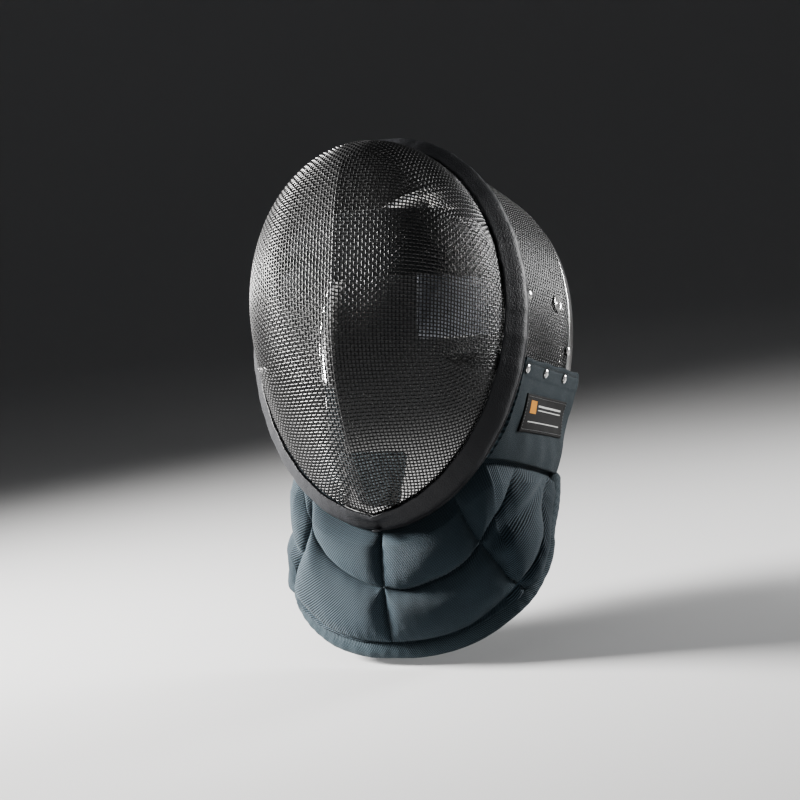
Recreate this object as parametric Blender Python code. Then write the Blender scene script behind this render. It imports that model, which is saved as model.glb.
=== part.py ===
# Fencing mask: woven wire face dome and side mesh joined under a leatherette trim,
# a steel rear band with a padded back tongue, and a quilted bib with riveted side flaps.
# Metres, +Z up, the face looks along -Y. The origin is where the crown of the head sits.
import math

import bmesh
import bpy
from mathutils import Vector

# Face opening, measured in the plane of the trim
FACE_TILT = math.radians(20.5)
FACE_HALF_WIDTH = 0.1047
FACE_ABOVE = 0.1370
FACE_BELOW = 0.1495
FACE_SQUARE_TOP = 2.0
FACE_SQUARE_CHIN = 1.9
FACE_BOW = 0.0045
CROWN_TO_FACE_BACK = 0.085
CROWN_TO_FACE_DOWN = 0.097

# Wire mesh, a wall as thick as two crossing wires
MESH_WALL = 0.0020
DOME_INSET = 0.0082
DOME_DEPTH = 0.088
DOME_FOOT = 0.0080
DOME_KEEL = 0.10
SIDE_GROW = 0.0015
SIDE_START = 0.0072
SIDE_LENGTH = 0.1220
SIDE_TAPER = 0.0004
SIDE_RISE = 0.0108
CROWN_DROP = 0.0091
REAR_SQUARE = 2.22
SIDE_END_ANGLE = -35.0
SIDE_LOW_CUT = 0.020

# Trim band that covers the joint of the two meshes
TRIM_WALL = 0.0020
TRIM_FRONT = 0.0090
TRIM_REAR = 0.0118
GAP = 0.0005

# Steel band along the rear edge, and the back tongue
BAND_WALL = 0.0012
BAND_WIDTH = 0.0290
BAND_OVERLAP = 0.0100
BAND_END_ANGLE = -13.0
TONGUE_WIDTH = 0.040
TONGUE_WALL = 0.0015
TONGUE_REACH = 0.020
TONGUE_DROP = 0.090
PAD_WIDTH = 0.074
PAD_WALL = 0.012

# Side flaps of the bib
FLAP_WALL = 0.0030
FLAP_TOP = -0.030
FLAP_BOTTOM = -0.103
FLAP_TOP_RISE = 0.115
FLAP_BOTTOM_RISE = 0.05
FLAP_REAR_TOP = 0.148
FLAP_REAR_BOTTOM = 0.136
FLAP_SPREAD_START = 0.050
FLAP_NARROW = 0.080
FLAP_SPREAD_OVER = 0.045
LABEL_LENGTH = 0.096
LABEL_HEIGHT = 0.028
LABEL_WALL = 0.0008
LABEL_START = 0.031
LABEL_BELOW_TOP = 0.0255

# Quilted bib skirt and its rolled hem
SKIRT_WALL = 0.0100
SKIRT_EDGE_WALL = 0.0040
SKIRT_HALF_WIDTH = 0.103
FLAP_SPREAD = SKIRT_HALF_WIDTH - FLAP_NARROW
SKIRT_LENGTH = 0.093
SKIRT_FROM_FACE = 0.045
SKIRT_BELLY = 0.0075
SKIRT_TUCK = 0.0065
SKIRT_TUCK_GROW = 0.0008
QUILT_RELIEF = 0.0050
QUILT_SEAM = 0.0070
ARC_DOWN = 0.48
ARC_LEVEL = 0.46
ARC_CLIMB = 0.27
HEM_HEIGHT = 0.0130
HEM_THICKNESS = 0.0090

# Small parts
RIVET_RADIUS = 0.0042
RIVET_HEIGHT = 0.0022
BADGE_RADIUS = 0.0085
BADGE_WALL = 0.0010
BROW_LOW = 0.0285
BROW_HEIGHT = 0.0485
BROW_WALL = 0.010
BROW_INSET = 0.0012
BROW_BACK = 0.030
BROW_FORWARD = 0.030
CHIN_PAD_WIDTH = 0.050
CHIN_PAD_HEIGHT = 0.035
CHIN_PAD_LEAN = 0.014

AROUND = 64


def place(x, up, forward):
    """A point of the face's tilted frame in the part's own frame."""
    forward -= FACE_BOW * (x / FACE_HALF_WIDTH) ** 2
    y = up * math.sin(FACE_TILT) - forward * math.cos(FACE_TILT)
    z = up * math.cos(FACE_TILT) + forward * math.sin(FACE_TILT)
    return Vector((x, y - CROWN_TO_FACE_BACK, z - CROWN_TO_FACE_DOWN))


def egg(angle, grow=0.0, crown_drop=0.0, square_top=FACE_SQUARE_TOP):
    """A point (x, up) of the face outline, grown outwards, for an angle from +X turning up."""
    c = math.cos(angle)
    s = math.sin(angle)
    square = square_top if s >= 0 else FACE_SQUARE_CHIN
    tall = FACE_ABOVE - crown_drop if s >= 0 else FACE_BELOW
    x = (FACE_HALF_WIDTH + grow) * math.copysign(abs(c) ** (2 / square), c)
    up = (tall + grow) * math.copysign(abs(s) ** (2 / square), s)
    return x, up


def blend(a, b, share):
    share = min(max(share, 0.0), 1.0)
    share = share * share * (3 - 2 * share)
    return a + (b - a) * share


def dome_point(angle, share):
    """The outer face of the wire dome, from its pole (share 0) to its rim (share 1)."""
    x, up = egg(angle, -DOME_INSET)
    high = 0.5 + 0.5 * math.sin(angle)
    fall = blend(2.3, 4.0, high)
    root = blend(1.0, 2.4, high)
    keel = DOME_KEEL * abs(x) / FACE_HALF_WIDTH * share * (1 - share ** 2)
    rise = max(1 - share ** fall - keel, 0.0)
    forward = DOME_FOOT + (DOME_DEPTH - DOME_FOOT) * rise ** (1 / root)
    return place(x * share, up * share, forward)


def side_share(back):
    """How far along the side a spot lies, 0 until it leaves the trim and 1 at the mesh's end."""
    return max(back - TRIM_REAR, 0.0) / (SIDE_LENGTH - TRIM_REAR)


def side_point(angle, back, lift=0.0):
    """The outer face of the side mesh, a distance behind the face plane, lifted off it."""
    share = side_share(back)
    grow = SIDE_GROW - SIDE_TAPER * share + lift
    square = FACE_SQUARE_TOP + (REAR_SQUARE - FACE_SQUARE_TOP) * share
    x, up = egg(angle, grow, CROWN_DROP * share, square)
    return place(x, up + SIDE_RISE * share, -back)


def flank_point(side, up, back, lift):
    """The side at a given height, following the mesh and then spreading to the bib's width."""
    share = side_share(back)
    grow = SIDE_GROW - SIDE_TAPER * share + lift
    mesh_up = up - SIDE_RISE * share
    if mesh_up >= 0:
        square = FACE_SQUARE_TOP + (REAR_SQUARE - FACE_SQUARE_TOP) * share
        low = mesh_up / (FACE_ABOVE - CROWN_DROP * share + grow)
    else:
        square = FACE_SQUARE_CHIN
        low = -mesh_up / (FACE_BELOW + grow)
    x = (FACE_HALF_WIDTH + grow) * (1 - low ** square) ** (1 / square)
    under = min(max((-up - FLAP_SPREAD_START) / (-FLAP_BOTTOM - FLAP_SPREAD_START), 0.0), 1.2)
    behind = max(back - TRIM_REAR, 0.0)
    x += FLAP_SPREAD * (1 - math.exp(-behind / FLAP_SPREAD_OVER)) * under ** 1.4
    return place(side * x, up, -back)


def finish(name, mesh, material):
    obj = bpy.data.objects.new(name, mesh)
    bpy.context.scene.collection.objects.link(obj)
    mesh.materials.append(material)
    return obj


def sheet(name, rows, material, wall, inside, grow_out=False, closed=False, pole=None):
    """A thin wall from rows of points, thickened away from or towards a point inside it."""
    bm = bmesh.new()
    made = [[bm.verts.new(p) for p in row] for row in rows]
    count = len(rows[0])
    for a, b in zip(made, made[1:]):
        for i in range(count if closed else count - 1):
            j = (i + 1) % count
            bm.faces.new((a[i], a[j], b[j], b[i]))
    if pole is not None:
        tip = bm.verts.new(pole)
        for i in range(count):
            bm.faces.new((tip, made[0][(i + 1) % count], made[0][i]))
    bmesh.ops.recalc_face_normals(bm, faces=bm.faces)
    facing = sum(f.normal.dot(f.calc_center_median() - inside) for f in bm.faces)
    if facing < 0:
        bmesh.ops.reverse_faces(bm, faces=bm.faces)
    mesh = bpy.data.meshes.new(name)
    bm.to_mesh(mesh)
    bm.free()
    mesh.shade_smooth()
    obj = finish(name, mesh, material)
    solid = obj.modifiers.new("wall", "SOLIDIFY")
    solid.thickness = wall
    solid.offset = 1.0 if grow_out else -1.0
    return obj


def loop_body(name, sections, material, closed_path):
    """A solid swept through sections that each hold the same number of points."""
    bm = bmesh.new()
    made = [[bm.verts.new(p) for p in section] for section in sections]
    count = len(sections[0])
    pairs = list(zip(made, made[1:]))
    if closed_path:
        pairs.append((made[-1], made[0]))
    for a, b in pairs:
        for i in range(count):
            j = (i + 1) % count
            bm.faces.new((a[i], a[j], b[j], b[i]))
    if not closed_path:
        bm.faces.new(made[0])
        bm.faces.new(made[-1])
    bmesh.ops.recalc_face_normals(bm, faces=bm.faces)
    if bm.calc_volume(signed=True) < 0:
        bmesh.ops.reverse_faces(bm, faces=bm.faces)
    mesh = bpy.data.meshes.new(name)
    bm.to_mesh(mesh)
    bm.free()
    mesh.shade_smooth()
    return finish(name, mesh, material)


def turned(name, centre, normal, profile, material, segments=16):
    """A small turned body whose profile lists (radius, height) along the normal."""
    spin = Vector((0, 0, 1)).rotation_difference(normal)
    sections = []
    for i in range(segments):
        turn = 2 * math.pi * i / segments
        ring = []
        for radius, height in profile:
            local = Vector((radius * math.cos(turn), radius * math.sin(turn), height))
            ring.append(centre + spin @ local)
        sections.append(ring)
    bm = bmesh.new()
    made = [[bm.verts.new(p) for p in section] for section in sections]
    for k in range(segments):
        a = made[k]
        b = made[(k + 1) % segments]
        for i in range(len(profile) - 1):
            bm.faces.new((a[i], b[i], b[i + 1], a[i + 1]))
    bm.faces.new([section[0] for section in made])
    bm.faces.new([section[-1] for section in made])
    bmesh.ops.recalc_face_normals(bm, faces=bm.faces)
    mesh = bpy.data.meshes.new(name)
    bm.to_mesh(mesh)
    bm.free()
    mesh.shade_smooth()
    mesh.set_sharp_from_angle(angle=math.radians(40))
    return finish(name, mesh, material)


def paint(name, colour, roughness, metallic=0.0):
    material = bpy.data.materials.new(name)
    material.use_nodes = True
    shader = material.node_tree.nodes["Principled BSDF"]
    shader.inputs["Base Color"].default_value = (*colour, 1.0)
    shader.inputs["Roughness"].default_value = roughness
    shader.inputs["Metallic"].default_value = metallic
    return material


def steps(low, high, count):
    return [low + (high - low) * i / (count - 1) for i in range(count)]


def head_centre():
    return place(0.0, 0.0, -SIDE_LENGTH / 2)


def face_dome(material):
    columns, rings = 44, 12
    shares = [math.sin(math.pi / 2 * (i + 1) / rings) for i in range(rings)]
    angles = [2 * math.pi * i / columns for i in range(columns)]
    rows = [[dome_point(a, share) for a in angles] for share in shares]
    rows.append([place(*egg(a, -DOME_INSET), 0.0) for a in angles])
    pole = place(0.0, 0.0, DOME_DEPTH)
    return sheet("face_mesh", rows, material, MESH_WALL, head_centre(), closed=True, pole=pole)


def side_length_at(angle_deg):
    """The side mesh is shorter where it runs down to the jaw."""
    turned_up = angle_deg if angle_deg <= 90 else 180 - angle_deg
    low = max(0.0, -10 - turned_up) / (-10 - SIDE_END_ANGLE)
    return SIDE_LENGTH - SIDE_LOW_CUT * low ** 1.5


def side_mesh(material):
    angles = steps(SIDE_END_ANGLE, 180 - SIDE_END_ANGLE, 45)
    rows = []
    for share in steps(0.0, 1.0, 7):
        row = []
        for a in angles:
            back = SIDE_START + (side_length_at(a) - SIDE_START) * share
            row.append(side_point(math.radians(a), back))
        rows.append(row)
    return sheet("side_mesh", rows, material, MESH_WALL, head_centre())


def trim(material):
    """A bent strip from the dome's foot to the side mesh, with a narrow folded rear welt."""
    inner_front = -DOME_INSET + GAP
    inner_rear = SIDE_GROW + GAP
    wall = TRIM_WALL
    profile = (
        (inner_front, TRIM_FRONT),
        (inner_front + wall * 0.7, TRIM_FRONT + wall * 0.35),
        (inner_front + 0.42 * (inner_rear - inner_front) + wall, TRIM_FRONT * 0.42),
        (inner_rear - 0.0004 + wall, -TRIM_REAR * 0.40),
        (inner_rear + wall * 0.85, -TRIM_REAR * 0.66),
        (inner_rear + wall * 1.25, -TRIM_REAR * 0.80),
        (inner_rear + wall * 1.0, -TRIM_REAR),
        (inner_rear, -TRIM_REAR),
        (inner_rear, -TRIM_REAR * 0.45),
        (inner_front + 0.55 * (inner_rear - inner_front), TRIM_FRONT * 0.30),
    )
    sections = []
    for i in range(AROUND):
        angle = 2 * math.pi * i / AROUND
        section = []
        for grow, forward in profile:
            x, up = egg(angle, grow)
            section.append(place(x, up, forward))
        sections.append(section)
    return loop_body("trim", sections, material, closed_path=True)


def rear_band(material):
    """A flat steel strip under the mesh's rear edge that stands out behind it."""
    under = -MESH_WALL - GAP
    angles = steps(BAND_END_ANGLE, 180 - BAND_END_ANGLE, 41)
    rows = []
    for share in (0.0, 0.5, 1.0):
        back = SIDE_LENGTH - BAND_OVERLAP + BAND_WIDTH * share
        rows.append([side_point(math.radians(a), back, under) for a in angles])
    return sheet("rear_band", rows, material, BAND_WALL, head_centre())


def tongue_line():
    """The centre line of the back tongue's inner face, from the crown down the back of the head."""
    under = -MESH_WALL - BAND_WALL - TONGUE_WALL - 2 * GAP
    start = side_point(math.pi / 2, SIDE_LENGTH - BAND_OVERLAP * 0.5, under)
    heading = place(0, 0, -1) - place(0, 0, 0)
    line = [start, start + heading * 0.012]
    bend = line[-1] + heading * TONGUE_REACH * 0.4
    turns = 7
    point = bend
    direction = heading.copy()
    slope = math.atan2(-heading.z, heading.y)
    line.append(point)
    for i in range(turns):
        angle = slope + (math.radians(96) - slope) * (i + 1) / turns
        direction = Vector((0, math.cos(angle), -math.sin(angle)))
        point = point + direction * TONGUE_REACH / turns * 1.6
        line.append(point)
    for i in range(6):
        angle = math.radians(96 + 4 * i)
        point = point + Vector((0, math.cos(angle), -math.sin(angle))) * TONGUE_DROP / 6
        line.append(point)
    return line


def crown_fall(x):
    """How far the crown of the rear edge falls away at a distance from the centre line."""
    wide = FACE_HALF_WIDTH + SIDE_GROW - SIDE_TAPER
    tall = FACE_ABOVE - CROWN_DROP + SIDE_GROW - SIDE_TAPER
    return tall * (1 - (1 - (abs(x) / wide) ** REAR_SQUARE) ** (1 / REAR_SQUARE))


def strip_rows(line, width, corner):
    up = place(0, 1, 0) - place(0, 0, 0)
    rows = []
    for k, point in enumerate(line):
        half = width / 2 - (corner if k == len(line) - 1 else 0.0)
        curve = 1 - max(0.0, min(1.0, (k - 3) / 5))
        row = []
        for x in steps(-half, half, 7):
            row.append(point + Vector((x, 0, 0)) - up * crown_fall(x) * curve)
        rows.append(row)
    return rows


def back_tongue(steel, cloth):
    line = tongue_line()
    inside = head_centre()
    sheet("back_tongue", strip_rows(line, TONGUE_WIDTH, 0.006), steel, TONGUE_WALL, inside, grow_out=True)
    sections = []
    drop = line[-6:]
    for k, point in enumerate(drop):
        ahead = drop[min(k + 1, len(drop) - 1)] - drop[max(k - 1, 0)]
        inward = Vector((0, -abs(ahead.z), -ahead.y if ahead.z < 0 else ahead.y)).normalized()
        start = point + inward * GAP
        end_share = min(k, len(drop) - 1 - k)
        half = PAD_WIDTH / 2 - (0.008 if end_share == 0 else 0.0)
        deep = PAD_WALL * (0.8 if end_share == 0 else 1.0)
        section = []
        for x_share, d_share in ((-1, 0.0), (-1, 0.7), (-0.86, 1.0), (0.86, 1.0), (1, 0.7), (1, 0.0)):
            section.append(start + Vector((half * x_share, 0, 0)) + inward * deep * d_share)
        sections.append(section)
    return loop_body("tongue_pad", sections, cloth, closed_path=False)


def flap_up(share_down, back):
    """The height of a spot of the flap in the face frame, its edges rising to the rear."""
    behind = back - TRIM_REAR
    top = FLAP_TOP + FLAP_TOP_RISE * behind
    bottom = FLAP_BOTTOM + FLAP_BOTTOM_RISE * behind
    return top + (bottom - top) * share_down


def flap_rear(share_down):
    """The flap's rear edge, full at the top and running forward to the bib."""
    return FLAP_REAR_TOP + (FLAP_REAR_BOTTOM - FLAP_REAR_TOP) * share_down ** 2.3


def flap_row(side, share_down, lift, count):
    first = TRIM_REAR + 3 * GAP
    row = []
    for back in steps(first, flap_rear(share_down), count):
        row.append(flank_point(side, flap_up(share_down, back), back, lift))
    return row


def flap_spot(side, below_top, back, lift):
    """A point and outward normal on the flap, for what is riveted or sewn to it."""
    def at(below, behind):
        up = FLAP_TOP - below + FLAP_TOP_RISE * (behind - TRIM_REAR)
        return flank_point(side, up, behind, lift)
    here = at(below_top, back)
    along = at(below_top, back + 0.004) - here
    down = at(below_top + 0.004, back) - here
    normal = along.cross(down).normalized()
    if normal.x * side < 0:
        normal.negate()
    return here, normal


def side_flaps(cloth):
    for side, word in ((1, "left"), (-1, "right")):
        rows = [flap_row(side, share, GAP, 10) for share in steps(0.0, 1.0, 7)]
        sheet("side_flap_" + word, rows, cloth, FLAP_WALL, head_centre(), grow_out=True)


def label_patch(cloth):
    lift = GAP + FLAP_WALL + GAP
    rows = []
    for below in steps(LABEL_BELOW_TOP, LABEL_BELOW_TOP + LABEL_HEIGHT, 5):
        row = []
        for back in steps(LABEL_START, LABEL_START + LABEL_LENGTH, 9):
            row.append(flap_spot(1, below, back, lift)[0])
        rows.append(row)
    return sheet("label_patch", rows, cloth, LABEL_WALL, head_centre(), grow_out=True)


RIVET_PROFILE = (
    (1.00, 0.00),
    (1.00, 0.35),
    (0.82, 0.75),
    (0.45, 1.00),
)


def rivet(name, centre, normal, steel, scale=1.0):
    profile = [(r * RIVET_RADIUS * scale, h * RIVET_HEIGHT * scale) for r, h in RIVET_PROFILE]
    return turned(name, centre + normal * 0.0003, normal, profile, steel, segments=12)


def side_spot(side, up, back, lift):
    """A point and outward normal on the side mesh above the flap."""
    here = flank_point(side, up, back, lift)
    along = flank_point(side, up, back + 0.004, lift) - here
    down = flank_point(side, up - 0.004, back, lift) - here
    normal = along.cross(down).normalized()
    if normal.x * side < 0:
        normal.negate()
    return here, normal


def small_metal(steel, dark):
    flap_lift = GAP + FLAP_WALL
    for side, word in ((1, "left"), (-1, "right")):
        for n, back in enumerate((0.0185, 0.062, 0.109)):
            here, normal = flap_spot(side, 0.0085, back, flap_lift)
            rivet(f"flap_rivet_{word}_{n + 1}", here, normal, steel)
        here, normal = side_spot(side, -0.004, 0.1160, 0.0)
        rivet(f"band_rivet_{word}", here, normal, steel)
        here, normal = side_spot(side, 0.017, 0.0185, 0.0)
        rivet(f"mesh_rivet_{word}", here, normal, steel)
    chin_x, chin_up = egg(-math.pi / 2, SIDE_GROW + GAP + TRIM_WALL)
    chin = place(chin_x, chin_up, -TRIM_REAR * 0.1)
    out = (place(0, -1, -0.16) - place(0, 0, 0)).normalized()
    rivet("chin_rivet", chin + out * 0.0004, out, dark)
    here, normal = side_spot(1, 0.027, 0.089, 0.0)
    profile = ((BADGE_RADIUS, 0.0), (BADGE_RADIUS, BADGE_WALL * 0.6), (BADGE_RADIUS * 0.93, BADGE_WALL))
    turned("side_badge", here + normal * 0.0006, normal, profile, steel, segments=24)


# Hem line of the skirt: outwards in half widths, forward in lengths, down in face heights
HEM_COLUMNS = ("around", "out", "forward", "down")
HEM_LINE = (
    (0.00, 0.000, 0.990, 1.540),
    (0.20, 0.265, 0.955, 1.538),
    (0.40, 0.550, 0.840, 1.500),
    (0.58, 0.790, 0.670, 1.428),
    (0.75, 0.948, 0.430, 1.340),
    (0.88, 0.968, 0.190, 1.262),
    (1.00, 0.930, -0.040, 1.165),
)
YOKE_START = 0.58
YOKE_ANGLE = -43.3


def hem_at(around, column):
    """Reads one column of the hem line with a smooth curve through its rows."""
    pick = HEM_COLUMNS.index(column)
    xs = [row[0] for row in HEM_LINE]
    ys = [row[pick] for row in HEM_LINE]
    k = 0
    while k < len(xs) - 2 and around > xs[k + 1]:
        k += 1
    slopes = []
    for j in (k, k + 1):
        if j == 0:
            slopes.append((ys[1] - ys[0]) / (xs[1] - xs[0]) if column == "out" else 0.0)
        elif j == len(xs) - 1:
            slopes.append((ys[j] - ys[j - 1]) / (xs[j] - xs[j - 1]))
        else:
            slopes.append((ys[j + 1] - ys[j - 1]) / (xs[j + 1] - xs[j - 1]))
    span = xs[k + 1] - xs[k]
    t = (around - xs[k]) / span
    return (
        (2 * t ** 3 - 3 * t ** 2 + 1) * ys[k]
        + (t ** 3 - 2 * t ** 2 + t) * span * slopes[0]
        + (3 * t ** 2 - 2 * t ** 3) * ys[k + 1]
        + (t ** 3 - t ** 2) * span * slopes[1]
    )


def skirt_top(around, tuck):
    """The skirt's top line under the trim and the flaps, and the same line just clear of them."""
    side = math.copysign(1.0, around)
    a = abs(around)
    if a <= YOKE_START:
        angle = math.radians(-90 + (90 + YOKE_ANGLE) * a / YOKE_START)
        back = SKIRT_TUCK if tuck else TRIM_REAR + 0.0015
        x, up = egg(angle, SKIRT_TUCK_GROW)
        return place(side * x, up, -back)
    share = (a - YOKE_START) / (1 - YOKE_START)
    start = SKIRT_TUCK if tuck else TRIM_REAR + 0.0015
    back = start + (FLAP_REAR_BOTTOM - 0.004 - start) * share
    up = flap_up(1.0, back) - 0.0015
    if tuck:
        up += 0.006 * min(share * 6, 1.0)
    return flank_point(side, up, back, SKIRT_TUCK_GROW - SIDE_GROW)


def skirt_hem(around):
    side = math.copysign(1.0, around)
    a = abs(around)
    return Vector((
        side * hem_at(a, "out") * SKIRT_HALF_WIDTH,
        SKIRT_FROM_FACE - hem_at(a, "forward") * SKIRT_LENGTH - CROWN_TO_FACE_BACK,
        -hem_at(a, "down") * FACE_BELOW - CROWN_TO_FACE_DOWN,
    ))


def arc_seam(around):
    """How far down the curved quilting seam lies, as a share of the skirt."""
    a = abs(around)
    return ARC_DOWN if a < ARC_LEVEL else ARC_DOWN - 0.60 * ((a - ARC_LEVEL) / ARC_CLIMB) ** 1.5


def seam_distance(around, down):
    """About how far, in metres, a spot of the skirt lies from the nearest quilting seam."""
    a = abs(around)
    length = 1.6 * SKIRT_HALF_WIDTH
    drop = 0.55 * FACE_BELOW
    arc = arc_seam(a)
    slant = abs(a - (0.38 + 0.34 * down)) * length * 0.85
    found = [a * length, slant, (1.03 - down) * drop]
    if arc > -0.1:
        found.append(abs(down - arc) * drop * (1.0 if a < 0.5 else 0.75))
    if a > 0.6:
        found.append(0.004 + down * drop * 0.8)
    return min(found)


def skirt_point(around, down, relief=1.0):
    """A spot of the skirt's outer face with its outward direction, 0 at the top to 1 at the hem."""
    clear = skirt_top(around, False)
    hem = skirt_hem(around)
    base = clear.lerp(hem, down)
    axis = SKIRT_FROM_FACE - CROWN_TO_FACE_BACK
    out = Vector((base.x, (base.y - axis) * 1.1 if base.y < axis else 0.0, 0.0))
    out.normalize()
    a = abs(around)
    belly = SKIRT_BELLY * math.sin(math.pi * min(down, 1.0) ** 0.75) * (1 - 0.8 * a ** 1.5)
    pillow = QUILT_RELIEF * (1 - math.exp(-(seam_distance(around, down) / QUILT_SEAM) ** 2))
    start = min(1.0, down * 7)
    return base + out * (belly + pillow * relief * start), out


def bib_skirt(cloth):
    columns = steps(-1.0, 1.0, 57)
    rows = steps(0.0, 1.0, 11)

    def down_at(a, row):
        middle = max(arc_seam(a), 0.25)
        return row * 2 * middle if row <= 0.5 else middle + (row * 2 - 1) * (1 - middle)

    outer = [[skirt_top(a, True) for a in columns]]
    outer += [[skirt_point(a, down_at(a, r))[0] for a in columns] for r in rows]
    inner = []
    for k, r in enumerate([0.0] + rows):
        row = []
        for a in columns:
            d = down_at(a, r)
            edge = min(1.0, 5 * min(d, 1 - d), 9 * (1 - abs(a)))
            wall = SKIRT_EDGE_WALL + (SKIRT_WALL - SKIRT_EDGE_WALL) * edge
            point, out = skirt_point(a, d, relief=0.0)
            if k == 0:
                point = skirt_top(a, True)
            row.append(point - out * wall)
        inner.append(row)
    bm = bmesh.new()
    made_out = [[bm.verts.new(p) for p in row] for row in outer]
    made_in = [[bm.verts.new(p) for p in row] for row in inner]
    last_row = len(outer) - 1
    last = len(columns) - 1
    for i in range(last_row):
        for j in range(last):
            bm.faces.new((made_out[i][j], made_out[i][j + 1], made_out[i + 1][j + 1], made_out[i + 1][j]))
            bm.faces.new((made_in[i][j], made_in[i + 1][j], made_in[i + 1][j + 1], made_in[i][j + 1]))
    for i in range(last_row):
        for j in (0, last):
            bm.faces.new((made_out[i][j], made_out[i + 1][j], made_in[i + 1][j], made_in[i][j]))
    for j in range(last):
        for i in (0, last_row):
            bm.faces.new((made_out[i][j], made_out[i][j + 1], made_in[i][j + 1], made_in[i][j]))
    bmesh.ops.recalc_face_normals(bm, faces=bm.faces)
    mesh = bpy.data.meshes.new("bib_skirt")
    bm.to_mesh(mesh)
    bm.free()
    mesh.shade_smooth()
    return finish("bib_skirt", mesh, cloth)


def hem_path():
    """The hem's centre line with its outward and downward directions, rear edge to rear edge."""
    edge = []
    for d in steps(0.04, 0.92, 8):
        edge.append((-1.0, d))
    for a in steps(-1.0, 1.0, 49)[1:-1]:
        edge.append((a, 1.0))
    for d in steps(0.92, 0.04, 8):
        edge.append((1.0, d))
    return edge


def bib_hem(cloth):
    sections = []
    half_high = HEM_HEIGHT / 2
    half_thick = HEM_THICKNESS / 2
    spots = hem_path()
    middles = []
    for a, d in spots:
        point, out = skirt_point(a, d, relief=0.0)
        middles.append((point - out * SKIRT_EDGE_WALL * 0.5, out))
    for k, (point, out) in enumerate(middles):
        before = middles[max(k - 1, 0)][0]
        after = middles[min(k + 1, len(middles) - 1)][0]
        along = (after - before).normalized()
        away = along.cross(out).normalized()
        a, d = spots[k]
        down_dir = skirt_hem(a) - skirt_top(a, False)
        if d < 1.0:
            down_dir = Vector((0, 1, -0.3))
        if away.dot(down_dir) < 0:
            away.negate()
        centre = point + away * (half_high * math.cos(math.pi / 8) + 0.6 * GAP)
        across = along.cross(away).normalized()
        section = []
        for i in range(8):
            turn = 2 * math.pi * (i + 0.5) / 8
            section.append(centre + across * half_thick * math.cos(turn) + away * half_high * math.sin(turn))
        sections.append(section)
    return loop_body("bib_hem", sections, cloth, closed_path=False)


def brow_pad(cloth):
    """A curved forehead band that crosses the mask from flank to flank."""
    sections = []
    for angle in steps(-88, 88, 25):
        turn = math.radians(angle)
        section = []
        for inward, high in ((0, 0.06), (0, 0.5), (0, 0.94), (0.3, 1.0), (0.8, 0.98), (1, 0.9), (1, 0.5), (1, 0.1), (0.8, 0.02), (0.3, 0)):
            up = BROW_LOW + BROW_HEIGHT * high
            reach = FACE_HALF_WIDTH * math.sqrt(1 - (up / FACE_ABOVE) ** 2) - BROW_INSET
            x = (reach - BROW_WALL * inward) * math.sin(turn)
            forward = -BROW_BACK + (BROW_BACK + BROW_FORWARD - BROW_WALL * inward) * math.cos(turn)
            section.append(place(x, up, forward))
        sections.append(section)
    return loop_body("brow_pad", sections, cloth, closed_path=False)


def chin_pad(cloth):
    sections = []
    for share in steps(0.0, 1.0, 5):
        up = -(FACE_BELOW - DOME_INSET) + 0.0049 + CHIN_PAD_HEIGHT * share
        half = CHIN_PAD_WIDTH / 2 * (0.45 + 0.55 * share)
        section = []
        for x_share, forward in ((-1, -0.020), (-1, 0.004), (-0.7, 0.009), (0.7, 0.009), (1, 0.004), (1, -0.020)):
            section.append(place(half * x_share, up, forward + CHIN_PAD_LEAN * share))
        sections.append(section)
    return loop_body("chin_pad", sections, cloth, closed_path=False)


def main():
    for obj in list(bpy.data.objects):
        bpy.data.objects.remove(obj)
    wire = paint("black_wire", (0.03, 0.03, 0.033), 0.35, 0.8)
    leatherette = paint("black_leatherette", (0.035, 0.036, 0.04), 0.6)
    steel = paint("polished_steel", (0.78, 0.77, 0.75), 0.18, 1.0)
    cloth = paint("slate_twill", (0.055, 0.085, 0.105), 0.85)
    lining = paint("dark_lining", (0.03, 0.035, 0.04), 0.9)
    woven = paint("black_label", (0.02, 0.02, 0.02), 0.8)
    face_dome(wire)
    side_mesh(wire)
    trim(leatherette)
    rear_band(steel)
    back_tongue(steel, lining)
    side_flaps(cloth)
    label_patch(woven)
    small_metal(steel, leatherette)
    bib_skirt(cloth)
    bib_hem(cloth)
    brow_pad(lining)
    chin_pad(cloth)


main()
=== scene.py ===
# Fencing mask: woven wire face and side mesh, leatherette trim, quilted twill bib
import math

import bmesh
import bpy
import numpy as np
from mathutils import Matrix, Vector


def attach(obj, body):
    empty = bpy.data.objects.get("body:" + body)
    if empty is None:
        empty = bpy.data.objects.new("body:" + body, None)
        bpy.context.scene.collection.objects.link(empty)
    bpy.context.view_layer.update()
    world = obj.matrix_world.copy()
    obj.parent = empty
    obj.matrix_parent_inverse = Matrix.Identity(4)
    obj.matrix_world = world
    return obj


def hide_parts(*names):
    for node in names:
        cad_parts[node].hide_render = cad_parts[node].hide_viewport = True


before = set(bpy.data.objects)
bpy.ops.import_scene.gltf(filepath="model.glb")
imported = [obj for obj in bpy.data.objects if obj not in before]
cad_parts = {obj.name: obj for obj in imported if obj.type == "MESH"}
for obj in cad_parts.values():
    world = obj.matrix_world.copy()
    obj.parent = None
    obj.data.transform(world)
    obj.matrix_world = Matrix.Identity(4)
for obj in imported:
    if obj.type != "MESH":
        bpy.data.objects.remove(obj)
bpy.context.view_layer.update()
print("frame loaded")

# sizes of the mask, in metres, the same as its solids
mask = {
    "tilt": math.radians(20.5),
    "halfWidth": 0.1047,
    "above": 0.1370,
    "below": 0.1495,
    "squareTop": 2.0,
    "squareChin": 1.9,
    "bow": 0.0045,
    "back": 0.085,
    "down": 0.097,
    "gap": 0.0005,
}


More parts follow.
